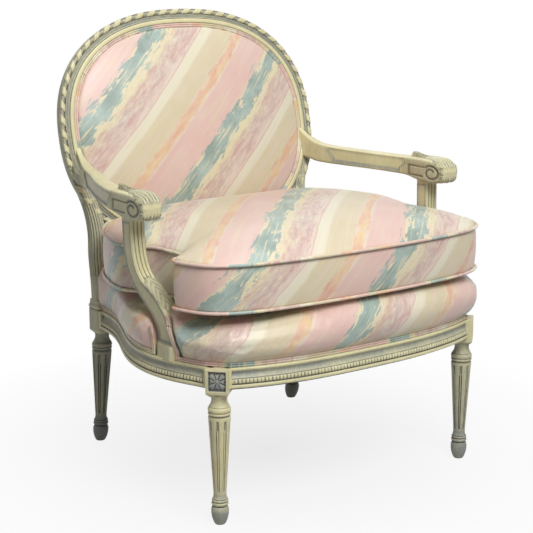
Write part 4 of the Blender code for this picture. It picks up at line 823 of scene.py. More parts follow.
ARM_X = 0.3570
ARM_WIDTH = 0.045
ARM_BOTTOM = 0.5540
ARM_THICK = 0.036
ROOT_BOTTOM, ROOT_TOP = 0.5664, 0.6320
ROOT_X = float(oval(np.array(-0.193), 0.0180, 0.0)[0])
ROOT_WEDGE = 0.013
SUPPORT_TOP_Y = -0.0835
SUPPORT_DEPTH = 0.033
NOSE_END_Y = -0.1552
ARM_STEP = 0.0014
ARM_COLUMNS = 128
ARM_SECTION = ((1, -0.82), (1, 0.74), (0.90, 0.93), (0.45, 1), (-0.45, 1), (-0.90, 0.93), (-1, 0.74))
ARM_SECTION += ((-1, -0.82), (-0.86, -1), (0.86, -1), (1, -0.82))
FIELD_BACK, FIELD_FRONT, FIELD_SWING = 0.176, -0.026, 0.009
FIELD_SHORT = 0.014
FIELD_DEPTH = 0.0019
SCROLL_Y, SCROLL_Z = -0.1195, 0.5668
SCROLL_STRETCH = 1.5
SCROLL_OUTER, SCROLL_INNER, SCROLL_TURNS = 0.0152, 0.0058, 1.22
CUT_FRAME_BACK, CUT_FRAME_FRONT = -0.0470, -0.0950
CUT_FRAME_LOW, CUT_FRAME_HIGH = 0.5570, 0.5765
LOBE_TURNS = 5.5
LEAF_TIP_Y = -0.036

# depth, middle, underside, top, width
ARM_MARKS = (
    (0.2580, ROOT_X - 0.0065, ROOT_BOTTOM, ROOT_TOP, 0.011),
    (0.2340, 0.2865, 0.5630, 0.6130, 0.015),
    (0.1970, 0.2950, 0.5576, 0.5985, 0.023),
    (0.1370, 0.3100, 0.5565, 0.5945, 0.030),
    (0.0670, 0.3340, 0.5550, 0.5918, 0.033),
    (-0.0120, 0.3540, 0.5533, 0.5912, 0.036),
    (-0.0420, ARM_X, 0.5520, 0.5920, 0.0400),
    (-0.0750, ARM_X, 0.5470, 0.5932, 0.0435),
    (-0.1050, ARM_X, 0.5448, 0.5940, 0.0455),
    (-0.1270, ARM_X, 0.5456, 0.5932, 0.0455),
    (-0.1420, ARM_X, 0.5500, 0.5892, 0.0440),
    (-0.1508, ARM_X, 0.5575, 0.5828, 0.0405),
    (-0.1540, ARM_X, 0.5640, 0.5775, 0.0350),
    (NOSE_END_Y, ARM_X, 0.5692, 0.5725, 0.0310),
)


def ridge_line(value, centre, half):
    """1 on a line, falling to 0 at half its width."""
    return np.clip(1 - ((value - centre) / half) ** 2, 0, 1)


def scroll_line(y, z):
    """How near a point of the arm's side lies to the cut scroll, 1 on the line and 0 away from it."""
    turn = np.linspace(0, 2 * math.pi * SCROLL_TURNS, 180)
    radius = SCROLL_OUTER - (SCROLL_OUTER - SCROLL_INNER) * (turn / turn[-1]) ** 1.5
    line_y = SCROLL_Y + SCROLL_STRETCH * radius * np.cos(turn + 0.30 * math.pi)
    line_z = SCROLL_Z + radius * np.sin(turn + 0.30 * math.pi)
    gap = np.full(y.shape, 1.0)
    for point_y, point_z in zip(line_y, line_z):
        gap = np.minimum(gap, np.hypot((y - point_y) / SCROLL_STRETCH, z - point_z))
    return ridge_line(gap, 0.0, 0.0030)


def cut_frame(y, z):
    """The cut rectangle behind the scroll."""
    within_z = (z > CUT_FRAME_LOW - 0.0014) & (z < CUT_FRAME_HIGH + 0.0014)
    low = ridge_line(z, CUT_FRAME_LOW, 0.0027) * (y > CUT_FRAME_FRONT)
    high = ridge_line(z, CUT_FRAME_HIGH, 0.0027) * (y > CUT_FRAME_FRONT - 0.010)
    level = np.maximum(low, high) * (y < CUT_FRAME_BACK + 0.0014)
    return np.maximum(level, ridge_line(y, CUT_FRAME_BACK, 0.0060) * within_z)


def sunk_field(y, a, b, tall):
    """How far inside the sunk field of the arm's side a point lies. It is shorter on the inner side."""
    curve = FIELD_SWING * np.tanh(b / 0.3)
    rear = np.where(a > 0, FIELD_BACK, FIELD_BACK - FIELD_SHORT)
    ends = np.minimum(rear + curve - y, y - FIELD_FRONT + curve)
    return np.minimum(ends, np.minimum((b + 0.70) * tall, (0.82 - b) * tall))


def leaf_relief(across, back):
    """Relief and hollows of the leaf, by place across the arm and share of the way back from the nose."""
    lobes = 0.5 + 0.5 * np.cos(2 * math.pi * 4.5 * back)
    spread = (1.06 - 0.92 * ease(0.08, 1.0, back)) * (0.84 + 0.16 * lobes)
    fan = across / np.maximum(spread, 0.06)
    inside = (1 - ease(0.90, 1.0, np.abs(fan))) * (1 - ease(0.97, 1.0, back))
    rib = np.abs(np.cos(math.pi * (3.1 * fan - 1.3 * np.sign(fan) * back))) ** 0.7
    vein = np.exp(-((fan / 0.08) ** 2))
    lift = 0.0058 * ease(0.60, 0.92, back)
    tuck = ease(0.0, 0.045, back)
    height = inside * tuck * (0.0006 + 0.0034 * rib + 0.0014 * vein + lift)
    hollow = inside * tuck * np.clip(1.20 - 1.7 * np.maximum(rib, vein), 0, 1)
    edge = np.exp(-(((np.abs(fan) - 1.03) / 0.07) ** 2)) * (back < 0.99)
    return height, hollow, edge


def arm_section():
    """Shares across and up the arm, from -1 to 1, round the edge of its section."""
    section = np.array(ARM_SECTION) * np.array([ARM_WIDTH / 2, ARM_THICK / 2])
    section, _ = stepped(section, lengths_along(section)[-1] / ARM_COLUMNS)
    section = section[:-1]
    for _ in range(3):
        section = 0.5 * section + 0.25 * (np.roll(section, 1, axis=0) + np.roll(section, -1, axis=0))
    return section[None, :, 0] / (ARM_WIDTH / 2), section[None, :, 1] / (ARM_THICK / 2)


def nose_lobes(y, z):
    """Where the small lobes lie ahead of the scroll on the arm's side, and how full each one is."""
    ahead = (SCROLL_Y - y) / SCROLL_STRETCH
    reach = np.hypot(z - SCROLL_Z, ahead)
    lobed = ease(SCROLL_OUTER + 0.001, SCROLL_OUTER + 0.003, reach) * (ahead > -0.003)
    return lobed, np.abs(np.sin(LOBE_TURNS * np.arctan2(z - SCROLL_Z, ahead)))


def raised(y, z, height):
    """Points of the arm's top and nose moved outwards by the height of the leaf."""
    out_y = np.minimum(y - NOSE_END_Y - 0.030, 0.0)
    out_z = z - SCROLL_Z - 0.003
    steep = np.hypot(out_y, out_z) + 1e-6
    return y + height * out_y / steep, z + height * out_z / steep


def arm(side):
    """The arm's skin: sections along its run, cut with field, frame and scroll and raised with the leaf."""
    path, _ = stepped(through(ARM_MARKS, 24), ARM_STEP)
    y, x, low, high, width = [path[:, k : k + 1] for k in range(5)]
    a, b = arm_section()
    half, tall = width / 2, (high - low) / 2
    wedge = ROOT_WEDGE * ease(0.185, 0.240, y) * (1 - ease(-0.2, 0.75, b))
    grid_x = x + a * half + wedge * ease(0.0, 0.9, a)
    grid_z = (low + high) / 2 + b * tall
    grid_y = y + math.tan(RAKE) * ease(0.19, 0.25, y) * b * tall

    on_side = ease(0.88, 0.95, np.abs(a)) * (b > -0.88) * (b < 0.84)
    inside = sunk_field(grid_y, a, b, tall)
    field = on_side * ease(0.0, 0.0016, inside)
    rim = on_side * np.exp(-(((inside - 0.0014) / 0.0032) ** 2)) * ease(0.80, 0.50, b)
    rim_line = on_side * ridge_line(inside, 0.0005, 0.0014) * ease(0.80, 0.60, b)
    outer_line = on_side * ridge_line(inside, -0.0058, 0.0015) * (b > -0.62)
    scroll = scroll_line(grid_y, grid_z) * on_side
    frame_cut = cut_frame(grid_y, grid_z) * on_side
    lobed, lobe = nose_lobes(grid_y, grid_z)
    lobed = on_side * lobed * (b > -0.6)
    cut = FIELD_DEPTH * field + 0.0018 * np.maximum(scroll, frame_cut) + 0.0006 * outer_line
    grid_x = grid_x - np.sign(a) * (cut - 0.0016 * lobed * lobe)

    back = (grid_y - NOSE_END_Y) / (LEAF_TIP_Y - NOSE_END_Y)
    nose = ease(-0.136, -0.146, grid_y)
    top = np.maximum(ease(0.62, 0.86, b), nose) * (back < 1.0)
    relief, hollow, edge = leaf_relief(a, np.clip(back, 0, 1))
    grid_y, grid_z = raised(grid_y, grid_z, relief * top)

    root = ease(0.192, 0.215, grid_y) * on_side * (a > 0)
    run = sum(ridge_line(b, place, 0.10) for place in (0.55, 0.20, -0.15, -0.50))
    dark = 1.3 * scroll + 1.4 * frame_cut + 0.70 * rim_line + 0.55 * outer_line
    dark = dark + lobed * np.clip(1 - 2.6 * lobe, 0, 1) + (1.0 * hollow + 0.9 * edge) * top
    dark = dark + 0.95 * root * run
    leafy = top * (relief > 0.0006)
    glaze = 0.06 + 0.80 * rim + 0.02 * on_side + 0.5 * scroll + (0.22 + 0.5 * hollow) * leafy
    glaze = glaze + 0.35 * outer_line + 0.35 * (b < -0.86) * (1 - nose) + 0.4 * root
    glaze = glaze + 0.20 * on_side * (back < 1.0)
    grid = np.stack([side * grid_x, grid_y, grid_z], axis=-1)
    return grid, np.clip(glaze, 0, 1), np.clip(dark, 0, 1)


for side, hand in HANDS:
    fits_frame(carved(f"armrest_{hand}", [arm(side)]), "painted_wood", f"arm_{hand}")

# Arm supports
# Swept uprights, stub-tenoned into the side rail below and the arm above, deeper towards the foot. Reeds run
# down the front into a small leaf, the sides have a sunk panel, and a plinth stands on the rail.

SUPPORT_BASE_Y = -0.1690
SUPPORT_WIDTH = 0.033
SUPPORT_FOOT_DEPTH = 0.0500
SUPPORT_REEDS = 4
SUPPORT_COLUMNS = 136
SUPPORT_SHARES = ((0, 0, 0), (0.08, 0.05, 0.13), (0.33, 0.31, 0.28))
SUPPORT_SHARES += ((0.72, 0.75, 0.46), (0.93, 0.94, 0.66), (1, 1, 1))
PLINTH_TOP = 0.3265
FIT = 0.0003


def seat_half_width(y):
    """Half width of the seat's outer edge at a depth."""
    edge = side_edge()
    return np.interp(y, edge[:, 1], edge[:, 0])


SUPPORT_BASE_X = float(seat_half_width(SUPPORT_BASE_Y)) - TONGUE_INSET - SUPPORT_WIDTH / 2


def support_line():
    """Middle of the support, from the rail's tongue up to the arm."""
    base = np.array([SUPPORT_BASE_X, SUPPORT_BASE_Y, RAIL_TOP + FIT])
    top = np.array([ARM_X, SUPPORT_TOP_Y, ARM_BOTTOM + 0.004])
    return through([base + (top - base) * np.array(share) for share in SUPPORT_SHARES], 20)


def support_depth(z):
    """Front-to-back depth of the support at a height."""
    share = ease(RAIL_TOP, RAIL_TOP + 0.130, z)
    return SUPPORT_FOOT_DEPTH + (SUPPORT_DEPTH - SUPPORT_FOOT_DEPTH) * share


def support(side):
    """The support's skin, swept square to its own line as seen from the side."""
    path, length = stepped(support_line(), 0.0017)
    way = np.gradient(path, axis=0)
    way[0] = way[-1] = (0, 0, 1)
    deep = np.stack([np.zeros(len(path)), way[:, 2], -way[:, 1]], axis=1)
    deep /= np.linalg.norm(deep, axis=1)[:, None]
    section, _ = soft_square(SUPPORT_COLUMNS, 0.34)
    a, b = section[None, :, 0], section[None, :, 1]
    share = (length / length[-1])[:, None]
    foot = 1 - ease(0.02, 0.30, share)
    front = ease(0.78, 0.92, -b)
    sides = ease(0.84, 0.95, np.abs(a))
    reed_run = ease(0.46, 0.50, share) * (1 - ease(0.93, 0.955, share))
    reed = np.abs(np.sin(math.pi * SUPPORT_REEDS * (a / 0.94 + 1) / 2))
    reeded = front * reed_run * (np.abs(a) < 0.95)
    panel_ends = np.minimum(share - 0.035, 0.93 - share) * length[-1]
    panel_in = np.minimum(panel_ends, (0.80 - np.abs(b)) * SUPPORT_DEPTH / 2)
    panel = sides * ease(0.0, 0.0016, panel_in)
    rim = sides * np.exp(-(((panel_in - 0.0012) / 0.0024) ** 2))
    rim_line = sides * ridge_line(panel_in, 0.0004, 0.0012)
    leaf_up = np.clip((share - 0.20) / 0.32, 0, 1)
    leaf_wide = 1.05 * np.sin(math.pi * leaf_up) ** 0.5
    leaf = front * (np.abs(a) < leaf_wide) * (share > 0.20) * (share < 0.52)
    leaf_rib = np.abs(np.cos(math.pi * (1.8 * np.abs(a) + 5.5 * leaf_up))) ** 0.8
    depth = 0.0026 * reeded * (1 - reed) - leaf * (0.0004 + 0.0030 * leaf_rib)
    half = SUPPORT_WIDTH / 2 + 0.003 * foot
    x = path[:, :1] + 0.003 * foot + a * half - np.sign(a) * 0.0016 * panel
    drop = b * support_depth(path[:, 2:]) / 2 + depth
    y = path[:, 1:2] + deep[:, 1:2] * drop
    z = path[:, 2:] + deep[:, 2:] * drop
    grid = np.stack([side * x, y, z], axis=-1)
    dark = reeded * ease(0.50, 0.14, reed) + 0.65 * rim_line
    dark = dark + leaf * np.clip(1 - 1.9 * leaf_rib, 0, 1) * 0.9
    glaze = 0.04 + 0.03 * panel + 0.80 * rim + 0.25 * leaf + 0.03 * sides
    return grid, np.clip(glaze, 0, 1), np.clip(dark, 0, 1)


def plinth(side):
    """The support's foot on the rail's ledge, flush with the rail's top fillet."""
    outer = float(seat_half_width(SUPPORT_BASE_Y)) - SHOW_SETBACK + 0.0022
    inner = SUPPORT_BASE_X - SUPPORT_WIDTH / 2
    middle, half = (outer + inner) / 2, (outer - inner) / 2
    section, _ = soft_square(44, 0.20)
    rows = [(SHOW_TOP - 0.0004, 1.0, 0.25, 0.4), (SHOW_TOP + 0.0012, 1.0, 0.12, 0), (0.3200, 0.985, 0.10, 0)]
    rows += [(0.3228, 0.98, 0.10, 0), (0.3238, 0.945, 0.4, 0.7), (PLINTH_TOP, 0.93, 0.4, 0.5)]
    height, grow, glaze, dark = columns_of(rows)
    x = side * (middle + half * grow * section[:, 0])
    y = SUPPORT_BASE_Y + (SUPPORT_FOOT_DEPTH / 2 + 0.0005) * grow * section[:, 1]
    return risen(x, y, height), glaze, dark


for side, hand in HANDS:
    upright = carved(f"upright_{hand}", [support(side), plinth(side)])
    fits_frame(upright, "painted_wood", f"arm_support_{hand}")

# Hidden structure
# Corner blocks, dowels, jute webbing, coil springs, burlap and the black cambric under the seat keep the
# shapes of the frame. Each gets the finish of its own stuff: bare beech, jute, drawn wire or thin cloth.

BEECH, BEECH_DARK = (0.60, 0.42, 0.25), (0.40, 0.25, 0.13)
JUTE, JUTE_DARK = (0.46, 0.34, 0.19), (0.24, 0.16, 0.08)
CAMBRIC = (0.022, 0.022, 0.024)
WIRE, SCREW = (0.40, 0.37, 0.33), (0.62, 0.55, 0.40)


def bare_beech():
    """Planed, unpainted beech with its small flecks along the grain."""
    wood = Finish("bare beech")
    place = wood.place()
    grain = wood.noise(wood.drawn_out(place, (40.0, 240.0, 240.0)), 1.0, 5.0)
    fleck = wood.noise(wood.drawn_out(place, (160.0, 900.0, 900.0)), 1.0, 2.0)
    colour = wood.mix((grain * 1.6 - 0.3).clip(), BEECH_DARK, BEECH)
    colour = wood.mix(((fleck - 0.6) * 8.0).clip() * 0.5, colour, BEECH_DARK)
    relief = wood.bump(grain, 0.0003, 0.3)
    return wood.surface(Base_Color=colour, Roughness=0.62 + grain * 0.15, Normal=relief)


def woven(name, light, shadow, pitch, roughness):
    """A plain weave of coarse yarn, with uneven threads."""
    cloth = Finish(name)
    place = cloth.place()
    x = cloth.node("ShaderNodeSeparateXYZ", None, {"Vector": place}, "X")
    split = x.socket.node.outputs
    y = Shade(cloth, split["Y"]) + Shade(cloth, split["Z"])
    warp = (x * (math.pi / pitch)).sum("SINE")
    weft = (y * (math.pi / pitch)).sum("SINE")
    weave = abs(warp) * abs(weft)
    uneven = cloth.noise(place, 90.0, 4.0, 0.6)
    colour = cloth.mix((weave * 0.9 + (uneven - 0.5) * 0.8).clip(), shadow, light)
    relief = cloth.bump(weave + uneven * 0.5, pitch / 2, 0.5)
    return cloth.surface(Base_Color=colour, Roughness=roughness, Normal=relief)


def drawn_metal(name, colour, tarnish, roughness):
    """Drawn or turned metal, dulled in patches."""
    metal = Finish(name)
    patch = metal.noise(metal.place(), 60.0, 4.0, 0.6)
    tone = metal.mix((patch * 1.8 - 0.5).clip() * 0.7, colour, tarnish)
    return metal.surface(Base_Color=tone, Metallic=0.95, Roughness=roughness + (patch - 0.5) * 0.3)


hidden_finishes = {
    "bare_beech": bare_beech(),
    "jute": woven("jute webbing", JUTE, JUTE_DARK, 0.0016, 0.9),
    "black_cambric": woven("black cambric", CAMBRIC, (0.010, 0.010, 0.011), 0.0007, 0.9),
    "spring_steel": drawn_metal("spring wire", WIRE, (0.16, 0.12, 0.09), 0.42),
    "screw_steel": drawn_metal("screw steel", SCREW, (0.30, 0.24, 0.16), 0.34),
}
hidden_starts = {
    "corner_block": "bare_beech",
    "crest_dowel": "bare_beech",
    "base_dowel": "bare_beech",
    "arm_dowel": "bare_beech",
    "seat_webbing": "jute",
    "back_webbing": "jute",
    "spring_burlap": "jute",
    "dust_cover": "black_cambric",
    "seat_spring": "spring_steel",
    "corner_screw": "screw_steel",
}
for node_name, node_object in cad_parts.items():
    for start, finish in hidden_starts.items():
        if node_name.startswith(start):
            node_object.data.materials.clear()
            node_object.data.materials.append(hidden_finishes[finish])

# Sprung seat
# Burlap, stuffing and a striped satin cover over the springs. The cover is drawn down over the rails' tongue,
# cut round the arm supports and the back posts, and tacked on the ledge. It rolls over the front and sides.

DECK_TOP = 0.3925
CUSHION_LOW_SEAM, CUSHION_HIGH_SEAM = 0.3995, 0.4845
REPEAT = 0.250
THREAD_PITCH = 0.00042
YELLOW_CREAM = (0.725, 0.652, 0.430)
IVORY = (0.750, 0.705, 0.550)
SAND = (0.655, 0.562, 0.378)
PINK = (0.715, 0.478, 0.428)
PALE_PINK = (0.730, 0.595, 0.512)
ROSE = (0.560, 0.325, 0.300)
MAUVE = (0.540, 0.410, 0.380)
TEAL = (0.180, 0.275, 0.260)
AQUA = (0.370, 0.495, 0.470)
CORAL = (0.680, 0.340, 0.260)
AMBER = (0.760, 0.560, 0.285)
# colour of the painted shadow line under the cushion's top piping
SEAM_SHADOW = (0.170, 0.085, 0.065)


# share of the repeat, colour
GROUND_BANDS = (
    (0.00, PINK),
    (0.225, PINK),
    (0.240, YELLOW_CREAM),
    (0.440, YELLOW_CREAM),
    (0.480, IVORY),
    (0.575, PALE_PINK),
    (0.612, PALE_PINK),
    (0.618, ROSE),
    (0.624, IVORY),
    (0.690, IVORY),
    (0.715, SAND),
    (0.875, SAND),
    (0.885, PALE_PINK),
    (0.970, PALE_PINK),
    (0.985, PINK),
)


class SatinPrint:
    """The design of the satin: slanting bands that look brushed and sponged on, and what wears them."""

    def __init__(self, satin, width, rise):
        self.satin = satin
        self.across = (width - rise) * math.sqrt(0.5)
        self.along = (width + rise) * math.sqrt(0.5)
        drift = self.worn(6.0, 5.0, 0.0, 2.0)
        self.torn = self.worn(170.0, 34.0, 0.0, 5.0, 0.68)
        self.patch = self.worn(50.0, 13.0, 9.0, 3.0, 0.6)
        self.streak = self.worn(230.0, 13.0, 2.0, 3.0, 0.6)
        self.blotch = self.worn(125.0, 34.0, 7.0, 6.0, 0.74)
        self.cloud = self.worn(26.0, 17.0, 5.0, 3.0, 0.55)
        self.wash = self.worn(85.0, 5.0, 4.0, 2.0)
        self.hairs = self.worn(1100.0, 14.0, 0.0, 2.0)
        self.sponge = self.worn(330.0, 260.0, 0.0, 4.0, 0.7)
        self.lane = (self.across + (drift - 0.5) * 0.010) / REPEAT

    def worn(self, wide, long, level, detail, roughness=0.5):
        """A noise at one scale across the bands and another along them."""
        place = self.satin.point(self.across * wide, self.along * long, level)
        return self.satin.noise(place, 1.0, detail, roughness)

    def brushed(self, place, half, wear, edge):
        """A painted band, torn at its sides. Its place and half width are shares of the repeat."""
        off = abs((self.lane + (0.5 - place)).wrap() - 0.5)
        reach = 1.0 - off * (1 / half)
        return ((reach + (self.torn - 0.5) * wear + (self.patch - 0.5) * wear) * edge).clip()

    def ground(self):
        """The broad bands, clouded, streaked and washed out."""
        mix = self.satin.mix
        share = (self.lane + (self.torn - 0.5) * 0.014).wrap()
        ground = self.satin.node("ShaderNodeValToRGB", {"stops": GROUND_BANDS}, {"Fac": share})
        ground = mix((self.cloud * 2.4 - 0.9).clip() * 0.30, ground, IVORY)
        ground = mix((self.streak * 3.0 - 1.5).clip() * 0.35, ground, SAND)
        ground = mix(((self.wash - 0.52) * 7.0).clip() * 0.40, ground, PALE_PINK)
        return mix(((0.46 - self.wash) * 7.0).clip() * 0.35, ground, YELLOW_CREAM)

    def sponged(self, ground):
        """The mauve band, the coral specks beside it, its rose veins and the amber band."""
        mix = self.satin.mix
        mauve = mix((self.patch * 3.2 - 1.1).clip(), MAUVE, ROSE)
        dabs = self.brushed(0.505, 0.100, 1.8, 2.4) * (self.blotch * 3.6 - 1.15).clip()
        ground = mix(dabs * 0.90, ground, mauve)
        specks = ((self.sponge - 0.56) * 11.0).clip() * self.brushed(0.435, 0.075, 2.0, 2.5)
        ground = mix(specks * 0.60, ground, CORAL)
        veins = ((self.hairs - 0.55) * 7.0).clip() * self.brushed(0.575, 0.060, 0.8, 3.0)
        ground = mix(veins * 0.40, ground, ROSE)
        glow = mix((self.patch * 4.0 - 1.6).clip(), AMBER, CORAL)
        dabs = self.brushed(0.925, 0.045, 1.9, 3.0) * (self.blotch * 3.0 - 0.7).clip()
        return mix(dabs * 0.95, ground, glow)

    def stroked(self, ground):
        """The dark sea-green strokes with their spatter, and the pale and mauve flecks all over."""
        mix = self.satin.mix
        sea = mix((self.cloud * 3.4 - 1.25).clip(), TEAL, AQUA)
        sea = mix(((self.hairs - 0.5) * 5.0).clip() * 0.5, sea, AQUA)
        gaps = ((self.streak - 0.56) * 12.0).clip() * 0.85
        ground = mix(self.brushed(0.302, 0.074, 3.4, 6.0) * (1.0 - gaps) * 0.88, ground, sea)
        spatter = ((self.sponge - 0.62) * 14.0).clip() * self.brushed(0.345, 0.10, 1.5, 2.5)
        ground = mix(spatter * 0.6, ground, TEAL)
        ground = mix(((self.hairs - 0.56) * 6.0).clip() * 0.22, ground, IVORY)
        return mix(((self.sponge - 0.60) * 9.0).clip() * 0.14, ground, MAUVE)


def striped_satin():
    """Printed satin with a fine weave, and a painted shadow line just under the top seam of a boxing strip.
    """
    satin = Finish("striped satin")
    cloth = satin.node("ShaderNodeAttribute", {"attribute_name": "cloth"}, out="Vector")
    width = satin.node("ShaderNodeSeparateXYZ", None, {"Vector": cloth}, "X")
    rise = Shade(satin, width.socket.node.outputs["Y"])
    boxing = Shade(satin, width.socket.node.outputs["Z"])
    design = SatinPrint(satin, width, rise)
    colour = design.stroked(design.sponged(design.ground()))
    # painted shadow: a dark line on the boxing just below the cushion's top piping
    seam_shadow = boxing * (1.0 - abs(rise + 0.0045) * (1 / 0.0042)).clip() * (0.55 + design.patch * 0.6)
    colour = satin.mix(seam_shadow.clip() * 0.60, colour, SEAM_SHADOW)
    pick = math.pi / THREAD_PITCH
    thread = (width * pick).sum("SINE") * 0.5 + (rise * pick).sum("SINE") * 0.2
    weave = satin.bump(thread + design.hairs * 0.5, 0.00012, 0.25)
    rough = 0.35 + (design.cloud - 0.5) * 0.10 + (design.hairs - 0.5) * 0.08
    satin.surface(Sheen_Weight=0.12, Sheen_Roughness=0.40)
    return satin.surface(Base_Color=colour, Roughness=rough, Normal=weave)


satin = striped_satin()


def lay_cloth(piece, width, rise, boxing=0.0):
    """Where each point lies on the length of satin: across and up it, in metres, and if it is boxing."""
    held = piece.data.attributes.new("cloth", "FLOAT_VECTOR", "POINT")
    flat = np.stack([width, rise, boxing + np.zeros_like(width)], axis=1).astype(np.float32)
    held.data.foreach_set("vector", flat.ravel())


def points_of(piece):
    """The points of a mesh, one to a row."""
    flat = np.empty(len(piece.data.vertices) * 3, dtype=np.float32)
    piece.data.vertices.foreach_get("co", flat)
    return flat.reshape(-1, 3).astype(float)


def set_points(piece, points):
    """The points of a mesh put in new places."""
    piece.data.vertices.foreach_set("co", points.astype(np.float32).ravel())
    piece.data.update()


def remeshed(piece, voxel):
    """The closed form taken over by an even net of small squares."""
    modifier = piece.modifiers.new("even net", "REMESH")
    modifier.mode = "VOXEL"
    modifier.voxel_size = voxel
    modifier.use_smooth_shade = True
    graph = bpy.context.evaluated_depsgraph_get()
    mesh = bpy.data.meshes.new_from_object(piece.evaluated_get(graph))
    piece.modifiers.remove(modifier)
    piece.data = mesh
    mesh.shade_smooth()


CLOTH_FRAMES = 20


def stuffed(piece, sewn, pressure, cap):
    """The cover blown up as cloth round its stuffing, with the sewn and tacked points held fast."""
    start = points_of(piece)
    group = piece.vertex_groups.new(name="sewn")
    group.add(np.nonzero(sewn)[0].tolist(), 1.0, "REPLACE")
    cloth = piece.modifiers.new("cover", "CLOTH")
    cloth.settings.quality = 4
    cloth.settings.mass = 0.3
    cloth.settings.tension_stiffness = 18
    cloth.settings.compression_stiffness = 12
    cloth.settings.bending_stiffness = 0.6
    cloth.settings.use_pressure = True
    cloth.settings.uniform_pressure_force = pressure
    cloth.settings.effector_weights.gravity = 0
    cloth.settings.vertex_group_mass = "sewn"
    cloth.collision_settings.use_collision = False
    scene = bpy.context.scene
    for number in range(1, CLOTH_FRAMES + 1):
        scene.frame_set(number)
    graph = bpy.context.evaluated_depsgraph_get()
    blown = piece.evaluated_get(graph).to_mesh()
    flat = np.empty(len(blown.vertices) * 3, dtype=np.float32)
    blown.vertices.foreach_get("co", flat)
    piece.evaluated_get(graph).to_mesh_clear()
    piece.modifiers.remove(cloth)
    scene.frame_set(1)
    move = flat.reshape(-1, 3) - start
    far = np.linalg.norm(move, axis=1, keepdims=True)
    set_points(piece, start + move * np.minimum(1.0, cap / np.maximum(far, 1e-9)))
    piece.vertex_groups.clear()


def even_ring(half, count):
    """A closed plan from its right half, at even steps, with the length at each step and all round."""
    full = np.vstack([half, half[-2::-1] * np.array([-1, 1])])
    lengths = lengths_along(full)
    marks = np.arange(count) / count * lengths[-1]
    return at_lengths(full, lengths, marks), marks, lengths[-1]


def ring_inwards(ring):
    """Unit steps square to a closed plan, towards its inside."""
    way = np.roll(ring, -1, axis=0) - np.roll(ring, 1, axis=0)
    way /= np.linalg.norm(way, axis=1)[:, None]
    return np.stack([-way[:, 1], way[:, 0]], axis=1)


right_edge = np.vstack([front_edge(FRONT_ARC_HALF)[120:], side_edge()[1:]])
back_edge = np.array([[SIDE_END[0], BACK_EDGE_Y], [0, BACK_EDGE_Y]])
deck_ring, deck_marks, _ = even_ring(np.vstack([right_edge, back_edge]), 560)
NOTCH_SLACK, NOTCH_SHOULDER = 0.0070, 0.0022
DRAWN_IN, DRAWN_REACH = 0.010, 0.028
REAR_BULGE, REAR_FADE, CORNER_BULGE = 0.45, 0.110, 0.35
SHOULDER_SINK, SHOULDER_SWELL = 0.0180, 0.0120
SUPPORT_CLEARANCE, POST_CLEARANCE = 0.0015, 0.0012
CORD_RADIUS = 0.0021
WELT_INSET = SHOW_SETBACK + CORD_RADIUS - 0.0004
WELT_TOP = SHOW_TOP + 0.0090
ROLL = DECK_TOP - WELT_TOP

# inset from the seat's outer edge, height
DECK_ROWS = (
    (0.0450, SHOW_TOP + 0.0030),
    (0.0130, SHOW_TOP + 0.0015),
    (0.0108, SHOW_TOP + 0.0045),
    (0.0090, WELT_TOP - 0.0005),
    (0.0038, WELT_TOP + 0.05 * ROLL),
    (-0.0036, WELT_TOP + 0.14 * ROLL),
    (-0.0085, WELT_TOP + 0.28 * ROLL),
    (-0.0115, WELT_TOP + 0.44 * ROLL),
    (-0.0100, WELT_TOP + 0.60 * ROLL),
    (-0.0025, WELT_TOP + 0.75 * ROLL),
    (0.0095, WELT_TOP + 0.87 * ROLL),
    (0.0260, WELT_TOP + 0.955 * ROLL),
    (0.0480, DECK_TOP - 0.0004),
    (0.0800, DECK_TOP),
    (0.1600, DECK_TOP),
)


def support_at(z):
    """Middle of the support and half its depth at a height, kept to the support's own run."""
    line = support_line()
    at = np.clip(z, line[0, 2], line[-1, 2])
    x, y = [np.interp(at, line[:, 2], line[:, k]) for k in (0, 1)]
    return x, y, support_depth(at) / 2


def beside_support(y, z, slack, reach):
    """1 within the cut round an arm support, falling to 0 at some distance in front of and behind it."""
    _, middle, half = support_at(z)
    gap = np.abs(y - middle) - half - slack
    return 1 - ease(0.0, reach, gap)


def settled(depth, z):
    """1 where the stuffing has settled under the cushion's edge: at both sides and one front corner."""
    x, y = deck_ring.T
    beside = ease(0.26, 0.30, np.abs(x)) * ease(SUPPORT_BASE_Y + 0.010, SUPPORT_BASE_Y + 0.060, y)
    ahead = ease(-0.02, -0.25, x) * ease(SUPPORT_BASE_Y - 0.020, SUPPORT_BASE_Y - 0.060, y)
    share = (1 - ease(0.045, 0.130, depth)) * ease(WELT_TOP + 0.30 * ROLL, WELT_TOP + 0.90 * ROLL, z)
    return share * np.maximum(beside, ahead)


def clear_of_supports(ring, z, at_side):
    """A plan drawn in to the inner face of the arm supports where it passes them."""
    out = np.abs(ring[:, 0])
    pull = beside_support(ring[:, 1], z, NOTCH_SLACK, NOTCH_SHOULDER) * at_side
    limit = np.minimum(out, support_at(z)[0] - SUPPORT_WIDTH / 2 - SUPPORT_CLEARANCE)
    x = np.sign(ring[:, 0]) * (out * (1 - pull) + limit * pull)
    return np.column_stack([x, ring[:, 1]])


def clear_of_posts(ring):
    """A plan whose rear corners stop short of the blocks of the back posts."""
    edge_x = POST_X - POST_BLOCK_HALF - POST_CLEARANCE
    edge_y = POST_Y - POST_BLOCK_HALF - POST_CLEARANCE
    corner = (np.abs(ring[:, 0]) > edge_x) & (ring[:, 1] > edge_y)
    to_x = np.abs(ring[:, 0]) - edge_x
    to_y = ring[:, 1] - edge_y
    x = np.where(corner & (to_x < to_y), np.sign(ring[:, 0]) * edge_x, ring[:, 0])
    y = np.where(corner & (to_x >= to_y), edge_y, ring[:, 1])
    return np.column_stack([x, y])


